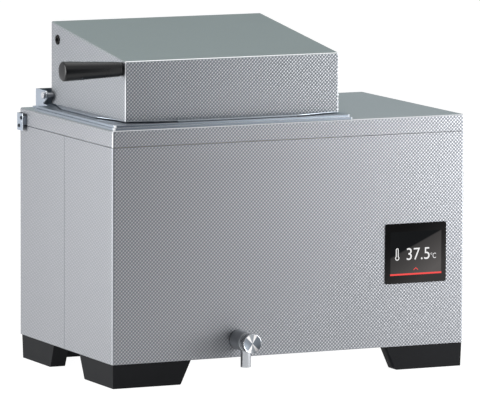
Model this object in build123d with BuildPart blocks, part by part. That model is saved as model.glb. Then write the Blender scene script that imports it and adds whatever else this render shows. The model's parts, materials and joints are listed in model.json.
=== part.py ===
from build123d import *
import os
from math import cos, radians, sin

# Heated laboratory bath in sheet steel: casing on four corner feet, drawn tub under a
# pitched lid that swings back on a rear bracket, drain tap and display on the front.
# Millimetres, +Z up, front towards -Y, the bench at Z 0, the origin midway along and
# across everything that the object covers on the bench.

# Casing: grown from the basin, the drain line under it, the hinge behind it and the bay
# for the electrics on its right
drain_space = 123
cover_ledge = 4
sheet = 1
bend_radius = 2.5
corner_radius = 3
cover_rim = 25
cover_gap = 0.7
cover_opening = 6
side_seam_inset = 177
seam_gap = 0.6
base_sheet = 1.5
base_flange = 12
fit_gap = 0.3

# Feet
foot_height = 36
foot_arm = 25
foot_top_x = 126
foot_top_y = 122
foot_end_taper = 16
foot_draft = 1
foot_front_inset = 1.5
foot_rear_inset = 5
foot_round = 3
foot_screw_inset = 60
foot_bore_depth = 22

# Raised frame and basin, one drawing
frame_left_inset = 2
frame_front_inset = 1
frame_right_border = 26
frame_rear_border = 17
frame_rise = 7
frame_step_rise = 3.5
frame_step_inset = 3
frame_corner = 3
basin_width = 320
basin_length = 236
basin_depth = 230
basin_left_inset = 46
basin_front_inset = 42
basin_corner = 20
basin_floor_round = 12
basin_mouth_round = 2

# Floor grid
grid_sheet = 1.5
grid_gap = 4
grid_height = 16
grid_columns = 8
grid_rows = 6
grid_pitch = 34
grid_hole = 9
grid_end = 14
grid_leg_inset = 33

# Lid
lid_left_inset = 32.4
lid_front_inset = 27.6
lid_right_border = 14.6
lid_rear_border = 23.4
lid_lift = 9.6
lid_front_height = 88.2
lid_rear_height = 124.2
lid_round = 2
rim_inner_border = 13
rim_upstand = 6
lip_left = 13.4
lip_right = 7
lip_front = 17.6
lip_side_end = 22.9
lip_front_end = 10.1
lip_side_sweep = 46.5
lip_front_sweep = 62
lip_side_offset = 4.5
lip_round = 30
hem_width = 4
hem_depth = 1
hem_end = 5

# Hinge
pivot_inset = 5.4
pivot_rise = 22.5
pivot_shank = 4
pivot_fit = 0.05
wing_clearance = 11
bracket_sheet = 2
bracket_plate_gap = 26.6
bracket_rise = 29.5
bracket_foot = 12
bracket_screws_across = 3
nose_radius = 7
nose_angle = 60
wing_neck_rise = 10.5
wing_neck_back = 6
wing_toe = 8
wing_toe_sheet = 1.5
toe_tab = 8
wing_foot_gap = 1.5
pivot_head = 10.5
pivot_head_height = 4
spacer_outer = 6.6
nut_flats = 7
nut_height = 3.2

# Handle
handle_length = 95.6
handle_base = 22
handle_end = 29.6
handle_front_inset = 13.5
handle_drop = 12.2
handle_collar = 4
handle_collar_diameter = 20
handle_end_bevel = 2
stud_diameter = 8
stud_depth = 60
stud_tip = 0.5
washer_diameter = 22
washer_height = 1.6
handle_nut_height = 6.5
handle_nut_flats = 13

# Cable port in the lid's left side
port_rear_inset = 25
port_drop = 26.2
port_flange = 15
port_flange_height = 1.5
port_flange_bevel = 0.7
port_neck = 11
port_bore = 7

# Seam clips
clip_stand_off = 5.5
clip_depth = 21.6
clip_height = 26
clip_rear_inset = 4.7
clip_drop = 33
clip_return_height = 13.5
clip_return_low = 9
clip_screw_low = (7.7, 7)
clip_screw_high = (16.3, 19.5)

# Display
display_width = 102
display_height = 90.5
display_left_gap = 53.7
display_right_inset = 30
display_rise = 95
display_round = 3
glass_depth = 1.5
glass_bevel = 0.5
housing_border = 5
housing_depth = 26
housing_wall = 2
screen_module_border = 4
screen_module_depth = 5
board_sheet = 1.6
boss_diameter = 7

# Drain tap, lengths along its axis measured outwards from the panel
tap_from_left = 204
tap_rise = 26.5
tap_gasket = 1.5
tap_barrel = 26
tap_barrel_end = 34
tap_chamber = 17
tap_seat_face = 9
tap_passage = 10
spout_reach = 26
spout_outer = 15
spout_bore = 11
spout_drop = 37.8
spout_shoulder = 15.4
spout_shoulder_drop = 16.5
bonnet_flange = 24
bonnet_flange_height = 1.2
bonnet_depth = 6
knob_diameter = 29.4
knob_start = 35.5
knob_end = 50
knob_face = 5.6
knob_groove = 1.2
knob_groove_start = 40
knob_chamfer = 1.4
stem_diameter = 8
stem_thread = 6
stem_tip = 17
valve_travel = 2.25
stem_shoulder = 27
disc_diameter = 15
disc_start = 11.3
disc_end = 14
disc_hub = 11
disc_hub_end = 22
shank_diameter = 20
shank_back = 16
tail_diameter = 14
tail_back = 34
tap_nut_flats = 27
tap_nut_height = 5
o_ring_start = 30.8
o_ring_section = 2
o_ring_corner = 0.6

# Drain line
drain_back = 45
drain_shank = 18
drain_flange = 30
drain_flange_height = 2
drain_flange_bevel = 1
drain_nut_flats = 27
drain_nut_height = 6
drain_tail = 20
hose_wall = 2
hose_bend = 28
hose_fit = 0.1

# Heat and insulation
mat_sheet = 2
mat_border = 30
mat_height = 90
mat_rise = 24
insulation = 18
insulation_fit = 0.3
probe_diameter = 5
probe_length = 42
probe_rise = 34
probe_tip = 1.5
probe_front_inset = 60
gland_flats = 17
gland_height = 6
gland_neck = 10
bulb_diameter = 6
bulb_length = 70
bulb_bevel = 1
fitting_room = 5

# Electrics
partition_gap = 5
partition_flange = 12
board_length = 150
board_height = 110
board_rise = 90
board_front_inset = 60
standoff_length = 8
standoff_flats = 6
standoff_inset = 6
processor_at = (50, 66)
processor_side = 24
processor_height = 3
capacitors_at = (112, 72)
capacitor_diameter = 16
capacitor_height = 22
capacitor_pitch = 24
strip_length = 105
strip_depth = 12
strip_height = 14
transformer_size = (56, 46, 44)
transformer_coil = (44, 60, 32)
heat_sink_width = 60
heat_sink_length = 70
heat_sink_base = 5
heat_sink_height = 30
heat_sink_fins = 9
heat_sink_fin = 1.6
relay_size = (44, 58, 22)
relay_stud = 5
relay_stud_height = 3
relay_stud_pitch = (22, 40)
terminal_width = 60
terminal_depth = 18
terminal_height = 20
terminal_ways = 6
terminal_pocket = (5, 13, 6)
inlet_from_right = 60
inlet_rise = 38
inlet_width = 30
inlet_height = 66
inlet_flange = 2
inlet_body_border = 2
inlet_body_depth = 30
socket_width = 24
socket_height = 16
socket_depth = 17
socket_rise = 20
socket_corner = 4.5
pin_length = 14
pin_thickness = 2
pin_height = 4
pin_spacing = 14
pin_middle_rise = 4
rocker_width = 13
rocker_height = 17
rocker_rise = 48
rocker_face = 3
rocker_crown = 4
rocker_tail = 4
rocker_axle_depth = 3.5
rocker_tilt = 8
rocker_well = 11.5
rocker_gap = 0.5
rocker_swing_gap = 1
rocker_axle = 3
fuse_width = 22
fuse_height = 8
fuse_rise = 33.5
fuse_depth = 20
fuse_pull = (9, 3.2, 1.6)
vent_width = 34
vent_height = 3.2
vent_column_pitch = 51
vent_pitch = 9
vent_rows = 9
vent_rise = 120

# Screws
small_screw = 3
small_head = 5.6
small_head_height = 1.6
screw_length = 8
foot_screw = 5
foot_head = 9
foot_head_height = 4
head_bevel = 0.6
drive_flats = 2.5
drive_depth = 1.1
hole_play = 0.15

# Casing, frame and lid follow the basin and what stands round it
wall_build = sheet + mat_sheet + insulation_fit + insulation
bay_width = wall_build + partition_gap + display_left_gap + display_width + display_right_inset
hinge_space = lid_rear_border + bracket_plate_gap + bracket_sheet + bracket_foot
case_width = basin_left_inset + basin_width + bay_width
case_depth = basin_front_inset + basin_length + hinge_space + cover_ledge
case_height = drain_space + basin_depth - frame_rise
frame_width = basin_left_inset - frame_left_inset + basin_width + frame_right_border
frame_depth = basin_front_inset - frame_front_inset + basin_length + frame_rear_border
lid_width = basin_left_inset - lid_left_inset + basin_width + lid_right_border
lid_depth = basin_front_inset - lid_front_inset + basin_length + lid_rear_border

# The outline that the object covers decides where the casing stands in the frame
handle_reach = handle_length - lid_left_inset
clip_reach = clip_stand_off + sheet + small_head_height
rocker_lift = rocker_crown * cos(radians(rocker_tilt)) + rocker_height / 2 * sin(radians(rocker_tilt))
rear_reach = inlet_flange - rocker_axle_depth + rocker_lift
tap_reach = knob_end
case_left = handle_reach - (case_width + handle_reach + clip_reach) / 2
case_front = tap_reach - (case_depth + tap_reach + rear_reach) / 2
case_right = case_left + case_width
case_rear = case_front + case_depth
case_middle = (case_left + case_width / 2, case_front + case_depth / 2)
case_bottom = foot_height
case_top = case_bottom + case_height
panel_height = case_height - cover_rim - cover_gap
seam_y = case_front + side_seam_inset

frame_left = case_left + frame_left_inset
frame_front = case_front + frame_front_inset
frame_rear = frame_front + frame_depth
frame_middle = (frame_left + frame_width / 2, frame_front + frame_depth / 2)
frame_top = case_top + frame_rise
basin_left = case_left + basin_left_inset
basin_front = case_front + basin_front_inset
basin_rear = basin_front + basin_length
basin_right = basin_left + basin_width
basin_middle = (basin_left + basin_width / 2, basin_front + basin_length / 2)
basin_floor = frame_top - basin_depth

lid_left = case_left + lid_left_inset
lid_right = lid_left + lid_width
lid_front = case_front + lid_front_inset
lid_rear = lid_front + lid_depth
lid_middle = (lid_left + lid_width / 2, lid_front + lid_depth / 2)
lid_bottom = case_top + lid_lift
rim_bottom = lid_bottom - sheet
pivot_y = lid_rear - pivot_inset
pivot_z = case_top + pivot_rise
wing_left = lid_left - wing_clearance
wing_right = lid_right + wing_clearance
plate_front = lid_rear + bracket_plate_gap
plate_rear = plate_front + bracket_sheet
plate_top = case_top + bracket_rise
wing_outer = {-1: wing_left - bracket_sheet, 1: wing_right + bracket_sheet}
bracket_screw_y = plate_rear + bracket_foot / 2
bracket_screw_pitch = lid_width / bracket_screws_across
bracket_screw_points = [
    (lid_middle[0] + step * bracket_screw_pitch, bracket_screw_y, case_top + bracket_sheet)
    for step in (-1, 0, 1)
]
wing_foot_y = frame_rear + wing_foot_gap

tap_x = case_left + tap_from_left
tap_z = case_bottom + tap_rise
drain_y = basin_front + drain_back
handle_y = lid_front + handle_front_inset
handle_z = lid_bottom + lid_front_height - handle_drop
port_y = lid_rear - port_rear_inset
port_z = lid_bottom + lid_rear_height - port_drop
knob_bore_end = knob_end - knob_face
inlet_x = case_right - inlet_from_right
partition_x = basin_right + wall_build + partition_gap
display_x = case_right - display_right_inset - display_width / 2
display_z = case_bottom + display_rise + display_height / 2
housing_width = display_width - 2 * housing_border
housing_height = display_height - 2 * housing_border


def box_between(low, high):
    """Solid block from its lowest to its highest corner, added to the builder in use."""
    size = [top - bottom for bottom, top in zip(low, high)]
    middle = [(top + bottom) / 2 for bottom, top in zip(low, high)]
    with Locations(tuple(middle)):
        Box(*size)


def panel_screw(head, head_height, shank, length):
    """Button head on Z 0 with a hex drive, its shank running down."""
    with BuildPart() as screw:
        Cylinder(head / 2, head_height, align=(Align.CENTER, Align.CENTER, Align.MIN))
        chamfer(screw.edges().group_by(Axis.Z)[-1], head_bevel)
        with BuildSketch(Plane.XY.offset(head_height)):
            RegularPolygon(drive_flats / 2, 6, major_radius=False)
        extrude(amount=-drive_depth, mode=Mode.SUBTRACT)
        Cylinder(shank / 2, length, align=(Align.CENTER, Align.CENTER, Align.MAX))
    return screw.part


small_fastener = panel_screw(small_head, small_head_height, small_screw, screw_length)

# Base plate: folded tray that carries the feet, the partition and the heavy electrics
foot_hole = foot_screw / 2 + hole_play
foot_places = []
for x_side in (-1, 1):
    for y_side, edge_inset in ((-1, foot_front_inset), (1, foot_rear_inset)):
        corner_x = case_middle[0] + x_side * (case_width / 2 - foot_front_inset)
        corner_y = case_middle[1] + y_side * (case_depth / 2 - edge_inset)
        foot_places.append((x_side, y_side, corner_x, corner_y))


def foot_screw_points(x_side, y_side, corner_x, corner_y):
    """Two screw centres of a foot, one in each arm."""
    arm_middle = foot_arm / 2 + foot_draft
    return [
        (corner_x - x_side * foot_screw_inset, corner_y - y_side * arm_middle),
        (corner_x - x_side * arm_middle, corner_y - y_side * foot_screw_inset),
    ]


all_foot_points = [point for place in foot_places for point in foot_screw_points(*place)]

with BuildPart() as base_plate:
    with BuildSketch(Plane.XY.offset(case_bottom)):
        with Locations(case_middle):
            RectangleRounded(case_width - 2 * sheet, case_depth - 2 * sheet, corner_radius - sheet)
    extrude(amount=base_flange)
    with BuildSketch(Plane.XY.offset(case_bottom + base_sheet)):
        with Locations(case_middle):
            Rectangle(case_width - 2 * (sheet + base_sheet), case_depth - 2 * (sheet + base_sheet))
    extrude(amount=base_flange, mode=Mode.SUBTRACT)
    with Locations(*[(x, y, case_bottom + base_sheet) for x, y in all_foot_points]):
        Hole(foot_hole, base_sheet * 2)
base_plate.part.label = "base_plate"

# Front casing: front panel with the forward half of both sides, bent from one sheet
with BuildPart() as front_casing:
    with BuildSketch(Plane.XY.offset(case_bottom)):
        with Locations(case_middle):
            RectangleRounded(case_width, case_depth, corner_radius)
            RectangleRounded(
                case_width - 2 * sheet,
                case_depth - 2 * sheet,
                corner_radius - sheet,
                mode=Mode.SUBTRACT,
            )
        with Locations((case_middle[0], seam_y - seam_gap / 2)):
            Rectangle(
                case_width * 2, case_depth, align=(Align.CENTER, Align.MIN), mode=Mode.SUBTRACT
            )
    extrude(amount=panel_height)
    with BuildSketch(Plane.XZ.offset(-case_front)):
        with Locations((display_x, display_z)):
            Rectangle(housing_width + 2 * fit_gap, housing_height + 2 * fit_gap)
        with Locations((tap_x, tap_z)):
            Circle(shank_diameter / 2 + fit_gap)
    extrude(amount=-2 * sheet, mode=Mode.SUBTRACT)
front_casing.part.label = "front_casing"

# Rear casing: back panel with the rear half of both sides, vents and inlet cut-out
inlet_middle = (inlet_x, case_bottom + inlet_rise + inlet_height / 2)
inlet_hole_width = inlet_width - 2 * inlet_body_border + 2 * fit_gap
inlet_hole_height = inlet_height - 2 * inlet_body_border + 2 * fit_gap
clip_rear = case_rear - clip_rear_inset
clip_front = clip_rear - clip_depth
clip_bottom = case_top - clip_drop
clip_screws_at = [
    (clip_rear - clip_screw_low[0], clip_bottom + clip_screw_low[1]),
    (clip_rear - clip_screw_high[0], clip_bottom + clip_screw_high[1]),
]

with BuildPart() as rear_casing:
    with BuildSketch(Plane.XY.offset(case_bottom)):
        with Locations(case_middle):
            RectangleRounded(case_width, case_depth, corner_radius)
            RectangleRounded(
                case_width - 2 * sheet,
                case_depth - 2 * sheet,
                corner_radius - sheet,
                mode=Mode.SUBTRACT,
            )
        with Locations((case_middle[0], seam_y + seam_gap / 2)):
            Rectangle(
                case_width * 2, case_depth, align=(Align.CENTER, Align.MAX), mode=Mode.SUBTRACT
            )
    extrude(amount=panel_height)
    with BuildSketch(Plane.XZ.offset(-case_rear)):
        with Locations(inlet_middle):
            Rectangle(inlet_hole_width, inlet_hole_height)
        vent_z = case_bottom + vent_rise + vent_rows * vent_pitch / 2
        with Locations((inlet_x, vent_z)):
            with GridLocations(vent_column_pitch, vent_pitch, 2, vent_rows):
                SlotOverall(vent_width, vent_height)
    extrude(amount=2 * sheet, both=True, mode=Mode.SUBTRACT)
rear_casing.part.label = "rear_casing"

# Top cover: folded sheet with a turned-down rim all round and the tub's opening
cover_bottom = case_top - cover_rim
with BuildPart() as top_cover:
    with BuildSketch(Plane.XY.offset(cover_bottom)):
        with Locations(case_middle):
            RectangleRounded(case_width, case_depth, corner_radius)
    extrude(amount=cover_rim)
    fillet(top_cover.edges().group_by(Axis.Z)[-1], bend_radius)
    offset(amount=-sheet, openings=top_cover.faces().sort_by(Axis.Z)[0])
    with BuildSketch(Plane.XY.offset(case_top)):
        with Locations(basin_middle):
            RectangleRounded(
                basin_width + 2 * (sheet + cover_opening),
                basin_length + 2 * (sheet + cover_opening),
                basin_corner + sheet + cover_opening,
            )
    extrude(amount=-2 * sheet, mode=Mode.SUBTRACT)
    with Locations(*bracket_screw_points):
        Hole(small_screw / 2 + hole_play, 2 * (bracket_sheet + sheet))
top_cover.part.label = "top_cover"

# Hole of the probe, on the inner face of the basin's right wall
probe_plane = Plane(
    (basin_right, basin_front + probe_front_inset, basin_floor + probe_rise), z_dir=(1, 0, 0)
)

# Inside of the basin, taken out of the tub
with BuildPart() as basin_cavity:
    with BuildSketch(Plane.XY.offset(basin_floor)):
        with Locations(basin_middle):
            RectangleRounded(basin_width, basin_length, basin_corner)
    extrude(amount=basin_depth)
    fillet(basin_cavity.edges().group_by(Axis.Z)[0], basin_floor_round)

# Tub: deep-drawn basin whose rim is the stepped frame round the opening
with BuildPart() as tub:
    for rise, inset in ((frame_step_rise, 0), (frame_rise, frame_step_inset)):
        with BuildSketch(Plane.XY.offset(case_top)) as step:
            with Locations(frame_middle):
                Rectangle(frame_width - 2 * inset, frame_depth - 2 * inset)
            chamfer(step.vertices(), frame_corner)
        extrude(amount=rise)
    for rise, inset in ((frame_step_rise, sheet), (frame_rise, frame_step_inset + sheet)):
        with BuildSketch(Plane.XY.offset(case_top)) as hollow:
            with Locations(frame_middle):
                Rectangle(frame_width - 2 * inset, frame_depth - 2 * inset)
            chamfer(hollow.vertices(), frame_corner)
        extrude(amount=rise - sheet, mode=Mode.SUBTRACT)
    with BuildSketch(Plane.XY.offset(frame_top)):
        with Locations(basin_middle):
            RectangleRounded(basin_width + 2 * sheet, basin_length + 2 * sheet, basin_corner + sheet)
    extrude(amount=-(basin_depth + sheet))
    fillet(tub.edges().group_by(Axis.Z)[0], basin_floor_round + sheet)
    add(basin_cavity.part, mode=Mode.SUBTRACT)
    mouth = tub.faces().filter_by(Axis.Z).sort_by(Axis.Z)[-1]
    fillet(mouth.inner_wires()[0].edges(), basin_mouth_round)
    with Locations((tap_x, drain_y, basin_floor)):
        Hole(drain_shank / 2 + hole_play, 2 * sheet)
    with Locations(probe_plane.offset(sheet)):
        Hole(gland_neck / 2 + hole_play, 2 * sheet)
tub.part.label = "tub"

# Floor grid: perforated plate on two folded legs that keeps vessels off the drain
grid_width = basin_width - 2 * grid_gap
grid_length = basin_length - 2 * (grid_gap + grid_end)
grid_leg_half = grid_length / 2 - grid_leg_inset
grid_top = basin_floor + grid_height
with BuildPart() as floor_grid:
    with BuildSketch(Plane.XY.offset(grid_top)):
        with Locations(basin_middle):
            RectangleRounded(grid_width, grid_length, grid_end)
            with GridLocations(grid_pitch, grid_pitch, grid_columns, grid_rows):
                RegularPolygon(grid_hole / 2, 6, mode=Mode.SUBTRACT)
    extrude(amount=-grid_sheet)
    leg_height = grid_height - fit_gap
    for side in (-1, 1):
        leg_x = basin_middle[0] + side * (grid_width / 2 - basin_floor_round)
        box_between(
            (leg_x - grid_sheet / 2, basin_middle[1] - grid_leg_half, grid_top - leg_height),
            (leg_x + grid_sheet / 2, basin_middle[1] + grid_leg_half, grid_top - grid_sheet / 2),
        )
floor_grid.part.label = "floor_grid"

# Heating mats on the outside of three basin walls
mat_low = basin_floor + mat_rise
mat_high = mat_low + mat_height
wall_left = basin_left - sheet
wall_right = basin_right + sheet
wall_front = basin_front - sheet
wall_rear = basin_rear + sheet
with BuildPart() as heater_mats:
    box_between(
        (wall_left - mat_sheet, basin_front + mat_border, mat_low),
        (wall_left, basin_rear - mat_border, mat_high),
    )
    box_between(
        (basin_left + mat_border, wall_front - mat_sheet, mat_low),
        (basin_right - mat_border, wall_front, mat_high),
    )
    box_between(
        (basin_left + mat_border, wall_rear, mat_low),
        (basin_right - mat_border, wall_rear + mat_sheet, mat_high),
    )
heater_mats.part.label = "heater_mats"

# Insulation: mineral fibre box round the basin, open to the drain and the probe
insulation_inner = mat_sheet + insulation_fit + sheet
insulation_top = case_top - sheet - fit_gap
insulation_floor = basin_floor - sheet - fit_gap
bulb_groove = bulb_length + 2 * bulb_diameter
with BuildPart() as insulation_jacket:
    with BuildSketch(Plane.XY.offset(insulation_floor - insulation)):
        with Locations(basin_middle):
            RectangleRounded(
                basin_width + 2 * (insulation_inner + insulation),
                basin_length + 2 * (insulation_inner + insulation),
                basin_corner + insulation,
            )
    extrude(amount=insulation_top - insulation_floor + insulation)
    with BuildSketch(Plane.XY.offset(insulation_floor)):
        with Locations(basin_middle):
            RectangleRounded(
                basin_width + 2 * insulation_inner, basin_length + 2 * insulation_inner, basin_corner
            )
    extrude(amount=insulation_top - insulation_floor, mode=Mode.SUBTRACT)
    with Locations((tap_x, drain_y, insulation_floor)):
        Hole(drain_nut_flats / 2 + fitting_room)
    with BuildSketch(probe_plane):
        Circle(gland_flats / 2 + fitting_room)
    extrude(amount=2 * insulation, mode=Mode.SUBTRACT)
    with BuildSketch(Plane.XY.offset(insulation_floor)):
        with Locations(basin_middle):
            Rectangle(bulb_groove, 2 * bulb_diameter)
    extrude(amount=-bulb_diameter, mode=Mode.SUBTRACT)
insulation_jacket.part.label = "insulation_jacket"

# Temperature probe and its gland in the basin's right wall
with BuildPart() as probe_gland:
    for start, end, radius in (
        (-sheet, 0, gland_neck / 2 + sheet),
        (0, sheet, gland_neck / 2),
    ):
        with BuildSketch(probe_plane.offset(start)):
            Circle(radius)
        extrude(amount=end - start)
    with BuildSketch(probe_plane.offset(sheet)):
        RegularPolygon(gland_flats / 2, 6, major_radius=False)
    extrude(amount=gland_height)
    with BuildSketch(probe_plane.offset(-sheet)):
        Circle(probe_diameter / 2 + hole_play)
    extrude(amount=gland_height + 2 * sheet, mode=Mode.SUBTRACT)
probe_gland.part.label = "probe_gland"

with BuildPart() as temperature_probe:
    with BuildSketch(probe_plane.offset(-probe_length)):
        Circle(probe_diameter / 2)
    extrude(amount=probe_length + gland_height + 2 * sheet)
    chamfer(temperature_probe.edges().sort_by(Axis.X)[0], probe_tip)
temperature_probe.part.label = "temperature_probe"

# Bulb of the overheat cut-out, clamped along the underside of the basin
bulb_z = basin_floor - sheet - bulb_diameter / 2 - fit_gap
with BuildPart() as cutout_bulb:
    with BuildSketch(Plane.YZ.offset(basin_middle[0])):
        with Locations((basin_middle[1], bulb_z)):
            Circle(bulb_diameter / 2)
    extrude(amount=bulb_length / 2, both=True)
    chamfer(cutout_bulb.edges().filter_by(GeomType.CIRCLE), bulb_bevel)
cutout_bulb.part.label = "cutout_bulb"

# Drain line: flanged fitting in the basin floor, its nut, and the hose to the tap
tap_axis = Axis((tap_x, case_front, tap_z), (0, -1, 0))
tap_section = Plane((tap_x, case_front, tap_z), x_dir=(0, -1, 0), z_dir=(-1, 0, 0))
fitting_nut_top = basin_floor - sheet
fitting_tail_end = fitting_nut_top - drain_nut_height - drain_tail
with BuildPart(Plane((tap_x, drain_y, basin_floor))) as drain_fitting:
    Cylinder(
        drain_flange / 2, drain_flange_height, align=(Align.CENTER, Align.CENTER, Align.MIN)
    )
    chamfer(drain_fitting.edges().group_by(Axis.Z)[-1], drain_flange_bevel)
    Cylinder(
        drain_shank / 2,
        sheet + drain_nut_height,
        align=(Align.CENTER, Align.CENTER, Align.MAX),
    )
    Cylinder(
        tail_diameter / 2,
        sheet + drain_nut_height + drain_tail,
        align=(Align.CENTER, Align.CENTER, Align.MAX),
    )
    Cylinder(
        tap_passage / 2,
        2 * (drain_tail + drain_nut_height + 2 * sheet),
        mode=Mode.SUBTRACT,
    )
drain_fitting.part.label = "drain_fitting"

with BuildPart() as drain_nut:
    with BuildSketch(Plane.XY.offset(fitting_nut_top - drain_nut_height)):
        with Locations((tap_x, drain_y)):
            RegularPolygon(drain_nut_flats / 2, 6, major_radius=False)
            Circle(drain_shank / 2 + hole_play, mode=Mode.SUBTRACT)
    extrude(amount=drain_nut_height)
drain_nut.part.label = "drain_nut"

hose_start = fitting_nut_top - drain_nut_height - hose_fit
hose_end_y = case_front + shank_back + hose_fit
with BuildPart() as drain_hose:
    with BuildLine() as hose_route:
        FilletPolyline(
            (tap_x, drain_y, hose_start),
            (tap_x, drain_y, tap_z),
            (tap_x, hose_end_y, tap_z),
            radius=hose_bend,
        )
    with BuildSketch(Plane((tap_x, drain_y, hose_start), z_dir=(0, 0, -1))):
        Circle(tail_diameter / 2 + hose_fit + hose_wall)
        Circle(tail_diameter / 2 + hose_fit, mode=Mode.SUBTRACT)
    sweep(path=hose_route.wires()[0])
drain_hose.part.label = "drain_hose"

# Tap body: barrel, shank through the panel, hose tail and spout in one turned casting
with BuildPart() as tap_body:
    with BuildSketch(tap_section):
        with BuildLine():
            Polyline(
                (-tail_back, 0),
                (-tail_back, tail_diameter / 2),
                (-shank_back, tail_diameter / 2),
                (-shank_back, shank_diameter / 2),
                (tap_gasket, shank_diameter / 2),
                (tap_gasket, tap_barrel / 2),
                (tap_barrel_end, tap_barrel / 2),
                (tap_barrel_end, 0),
                close=True,
            )
        make_face()
    revolve(axis=tap_axis)
    spout_y = case_front - spout_reach
    for drop, diameter in ((spout_drop, spout_outer), (spout_shoulder_drop, spout_shoulder)):
        with BuildSketch(Plane.XY.offset(tap_z - drop)):
            with Locations((tap_x, spout_y)):
                Circle(diameter / 2)
        extrude(amount=drop)
    with BuildSketch(tap_section):
        with BuildLine():
            Polyline(
                (-tail_back, 0),
                (-tail_back, tap_passage / 2),
                (tap_seat_face, tap_passage / 2),
                (tap_seat_face, tap_chamber / 2),
                (tap_barrel_end, tap_chamber / 2),
                (tap_barrel_end, 0),
                close=True,
            )
        make_face()
    revolve(axis=tap_axis, mode=Mode.SUBTRACT)
    with BuildSketch(Plane.XY.offset(tap_z - spout_drop)):
        with Locations((tap_x, spout_y)):
            Circle(spout_bore / 2)
    extrude(amount=spout_drop, mode=Mode.SUBTRACT)
tap_body.part.label = "tap_body"


def tap_ring(outer, inner, start, end):
    """Ring on the tap's axis, from one distance off the panel to another."""
    with BuildPart() as ring:
        with BuildSketch(Plane.XZ.offset(-case_front + start)):
            with Locations((tap_x, tap_z)):
                Circle(outer / 2)
                Circle(inner / 2, mode=Mode.SUBTRACT)
        extrude(amount=end - start)
    return ring.part


with BuildPart() as tap_gasket_ring:
    add(tap_ring(tap_barrel, shank_diameter + fit_gap, 0, tap_gasket))
tap_gasket_ring.part.label = "tap_gasket"

with BuildPart() as tap_nut:
    with BuildSketch(Plane.XZ.offset(-case_front - sheet)):
        with Locations((tap_x, tap_z)):
            RegularPolygon(tap_nut_flats / 2, 6, major_radius=False)
            Circle(shank_diameter / 2 + hole_play, mode=Mode.SUBTRACT)
    extrude(amount=-tap_nut_height)
tap_nut.part.label = "tap_nut"

with BuildPart() as tap_bonnet:
    with BuildSketch(tap_section):
        with BuildLine():
            Polyline(
                (tap_barrel_end - bonnet_depth, stem_diameter / 2 + pivot_fit),
                (tap_barrel_end - bonnet_depth, tap_chamber / 2 - pivot_fit),
                (tap_barrel_end, tap_chamber / 2 - pivot_fit),
                (tap_barrel_end, bonnet_flange / 2),
                (tap_barrel_end + bonnet_flange_height, bonnet_flange / 2),
                (tap_barrel_end + bonnet_flange_height, stem_diameter / 2 + pivot_fit),
                close=True,
            )
        make_face()
    revolve(axis=tap_axis)
    add(
        tap_ring(
            stem_diameter + 2 * o_ring_section + 2 * pivot_fit,
            stem_diameter,
            o_ring_start - pivot_fit,
            o_ring_start + o_ring_section + pivot_fit,
        ),
        mode=Mode.SUBTRACT,
    )
tap_bonnet.part.label = "tap_bonnet"

# O-ring round the stem, squeezed to the section of its groove in the bonnet
o_ring_middle = (
    o_ring_start + o_ring_section / 2,
    stem_diameter / 2 + pivot_fit + o_ring_section / 2,
)
with BuildPart() as tap_o_ring:
    with BuildSketch(tap_section) as o_ring_face:
        with Locations(o_ring_middle):
            Rectangle(o_ring_section, o_ring_section)
        chamfer(o_ring_face.vertices(), o_ring_corner)
    revolve(axis=tap_axis)
tap_o_ring.part.label = "tap_o_ring"

# Stem: turns with the knob, its threaded end drives the valve disc along the chamber
with BuildPart() as tap_stem:
    with BuildSketch(tap_section):
        with BuildLine():
            Polyline(
                (stem_tip, 0),
                (stem_tip, stem_thread / 2),
                (stem_shoulder, stem_thread / 2),
                (stem_shoulder, stem_diameter / 2),
                (knob_bore_end, stem_diameter / 2),
                (knob_bore_end, 0),
                close=True,
            )
        make_face()
    revolve(axis=tap_axis)
tap_stem.part.label = "tap_stem"

with BuildPart() as tap_knob:
    knob_radius = knob_diameter / 2
    with BuildSketch(tap_section):
        with BuildLine():
            Polyline(
                (knob_start, stem_diameter / 2),
                (knob_start, knob_radius - knob_chamfer),
                (knob_start + knob_chamfer, knob_radius),
                (knob_groove_start, knob_radius),
                (knob_groove_start, knob_radius - knob_groove),
                (knob_groove_start + knob_groove, knob_radius - knob_groove),
                (knob_groove_start + knob_groove, knob_radius),
                (knob_end - knob_chamfer, knob_radius),
                (knob_end, knob_radius - knob_chamfer),
                (knob_end, 0),
                (knob_bore_end, 0),
                (knob_bore_end, stem_diameter / 2),
                close=True,
            )
        make_face()
    revolve(axis=tap_axis)
tap_knob.part.label = "tap_knob"

# Valve disc with its hub, and the rubber washer that meets the seat
with BuildPart() as valve_disc:
    with BuildSketch(tap_section):
        with BuildLine():
            Polyline(
                (disc_start, 0),
                (disc_start, disc_diameter / 2),
                (disc_end, disc_diameter / 2),
                (disc_end, disc_hub / 2),
                (disc_hub_end, disc_hub / 2),
                (disc_hub_end, stem_thread / 2 + pivot_fit),
                (stem_tip - valve_travel - fit_gap, stem_thread / 2 + pivot_fit),
                (stem_tip - valve_travel - fit_gap, 0),
                close=True,
            )
        make_face()
    revolve(axis=tap_axis)
valve_disc.part.label = "valve_disc"

with BuildPart() as valve_washer:
    with BuildSketch(Plane.XZ.offset(-case_front + tap_seat_face + fit_gap)):
        with Locations((tap_x, tap_z)):
            Circle(disc_diameter / 2)
    extrude(amount=disc_start - tap_seat_face - fit_gap)
valve_washer.part.label = "valve_washer"

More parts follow.
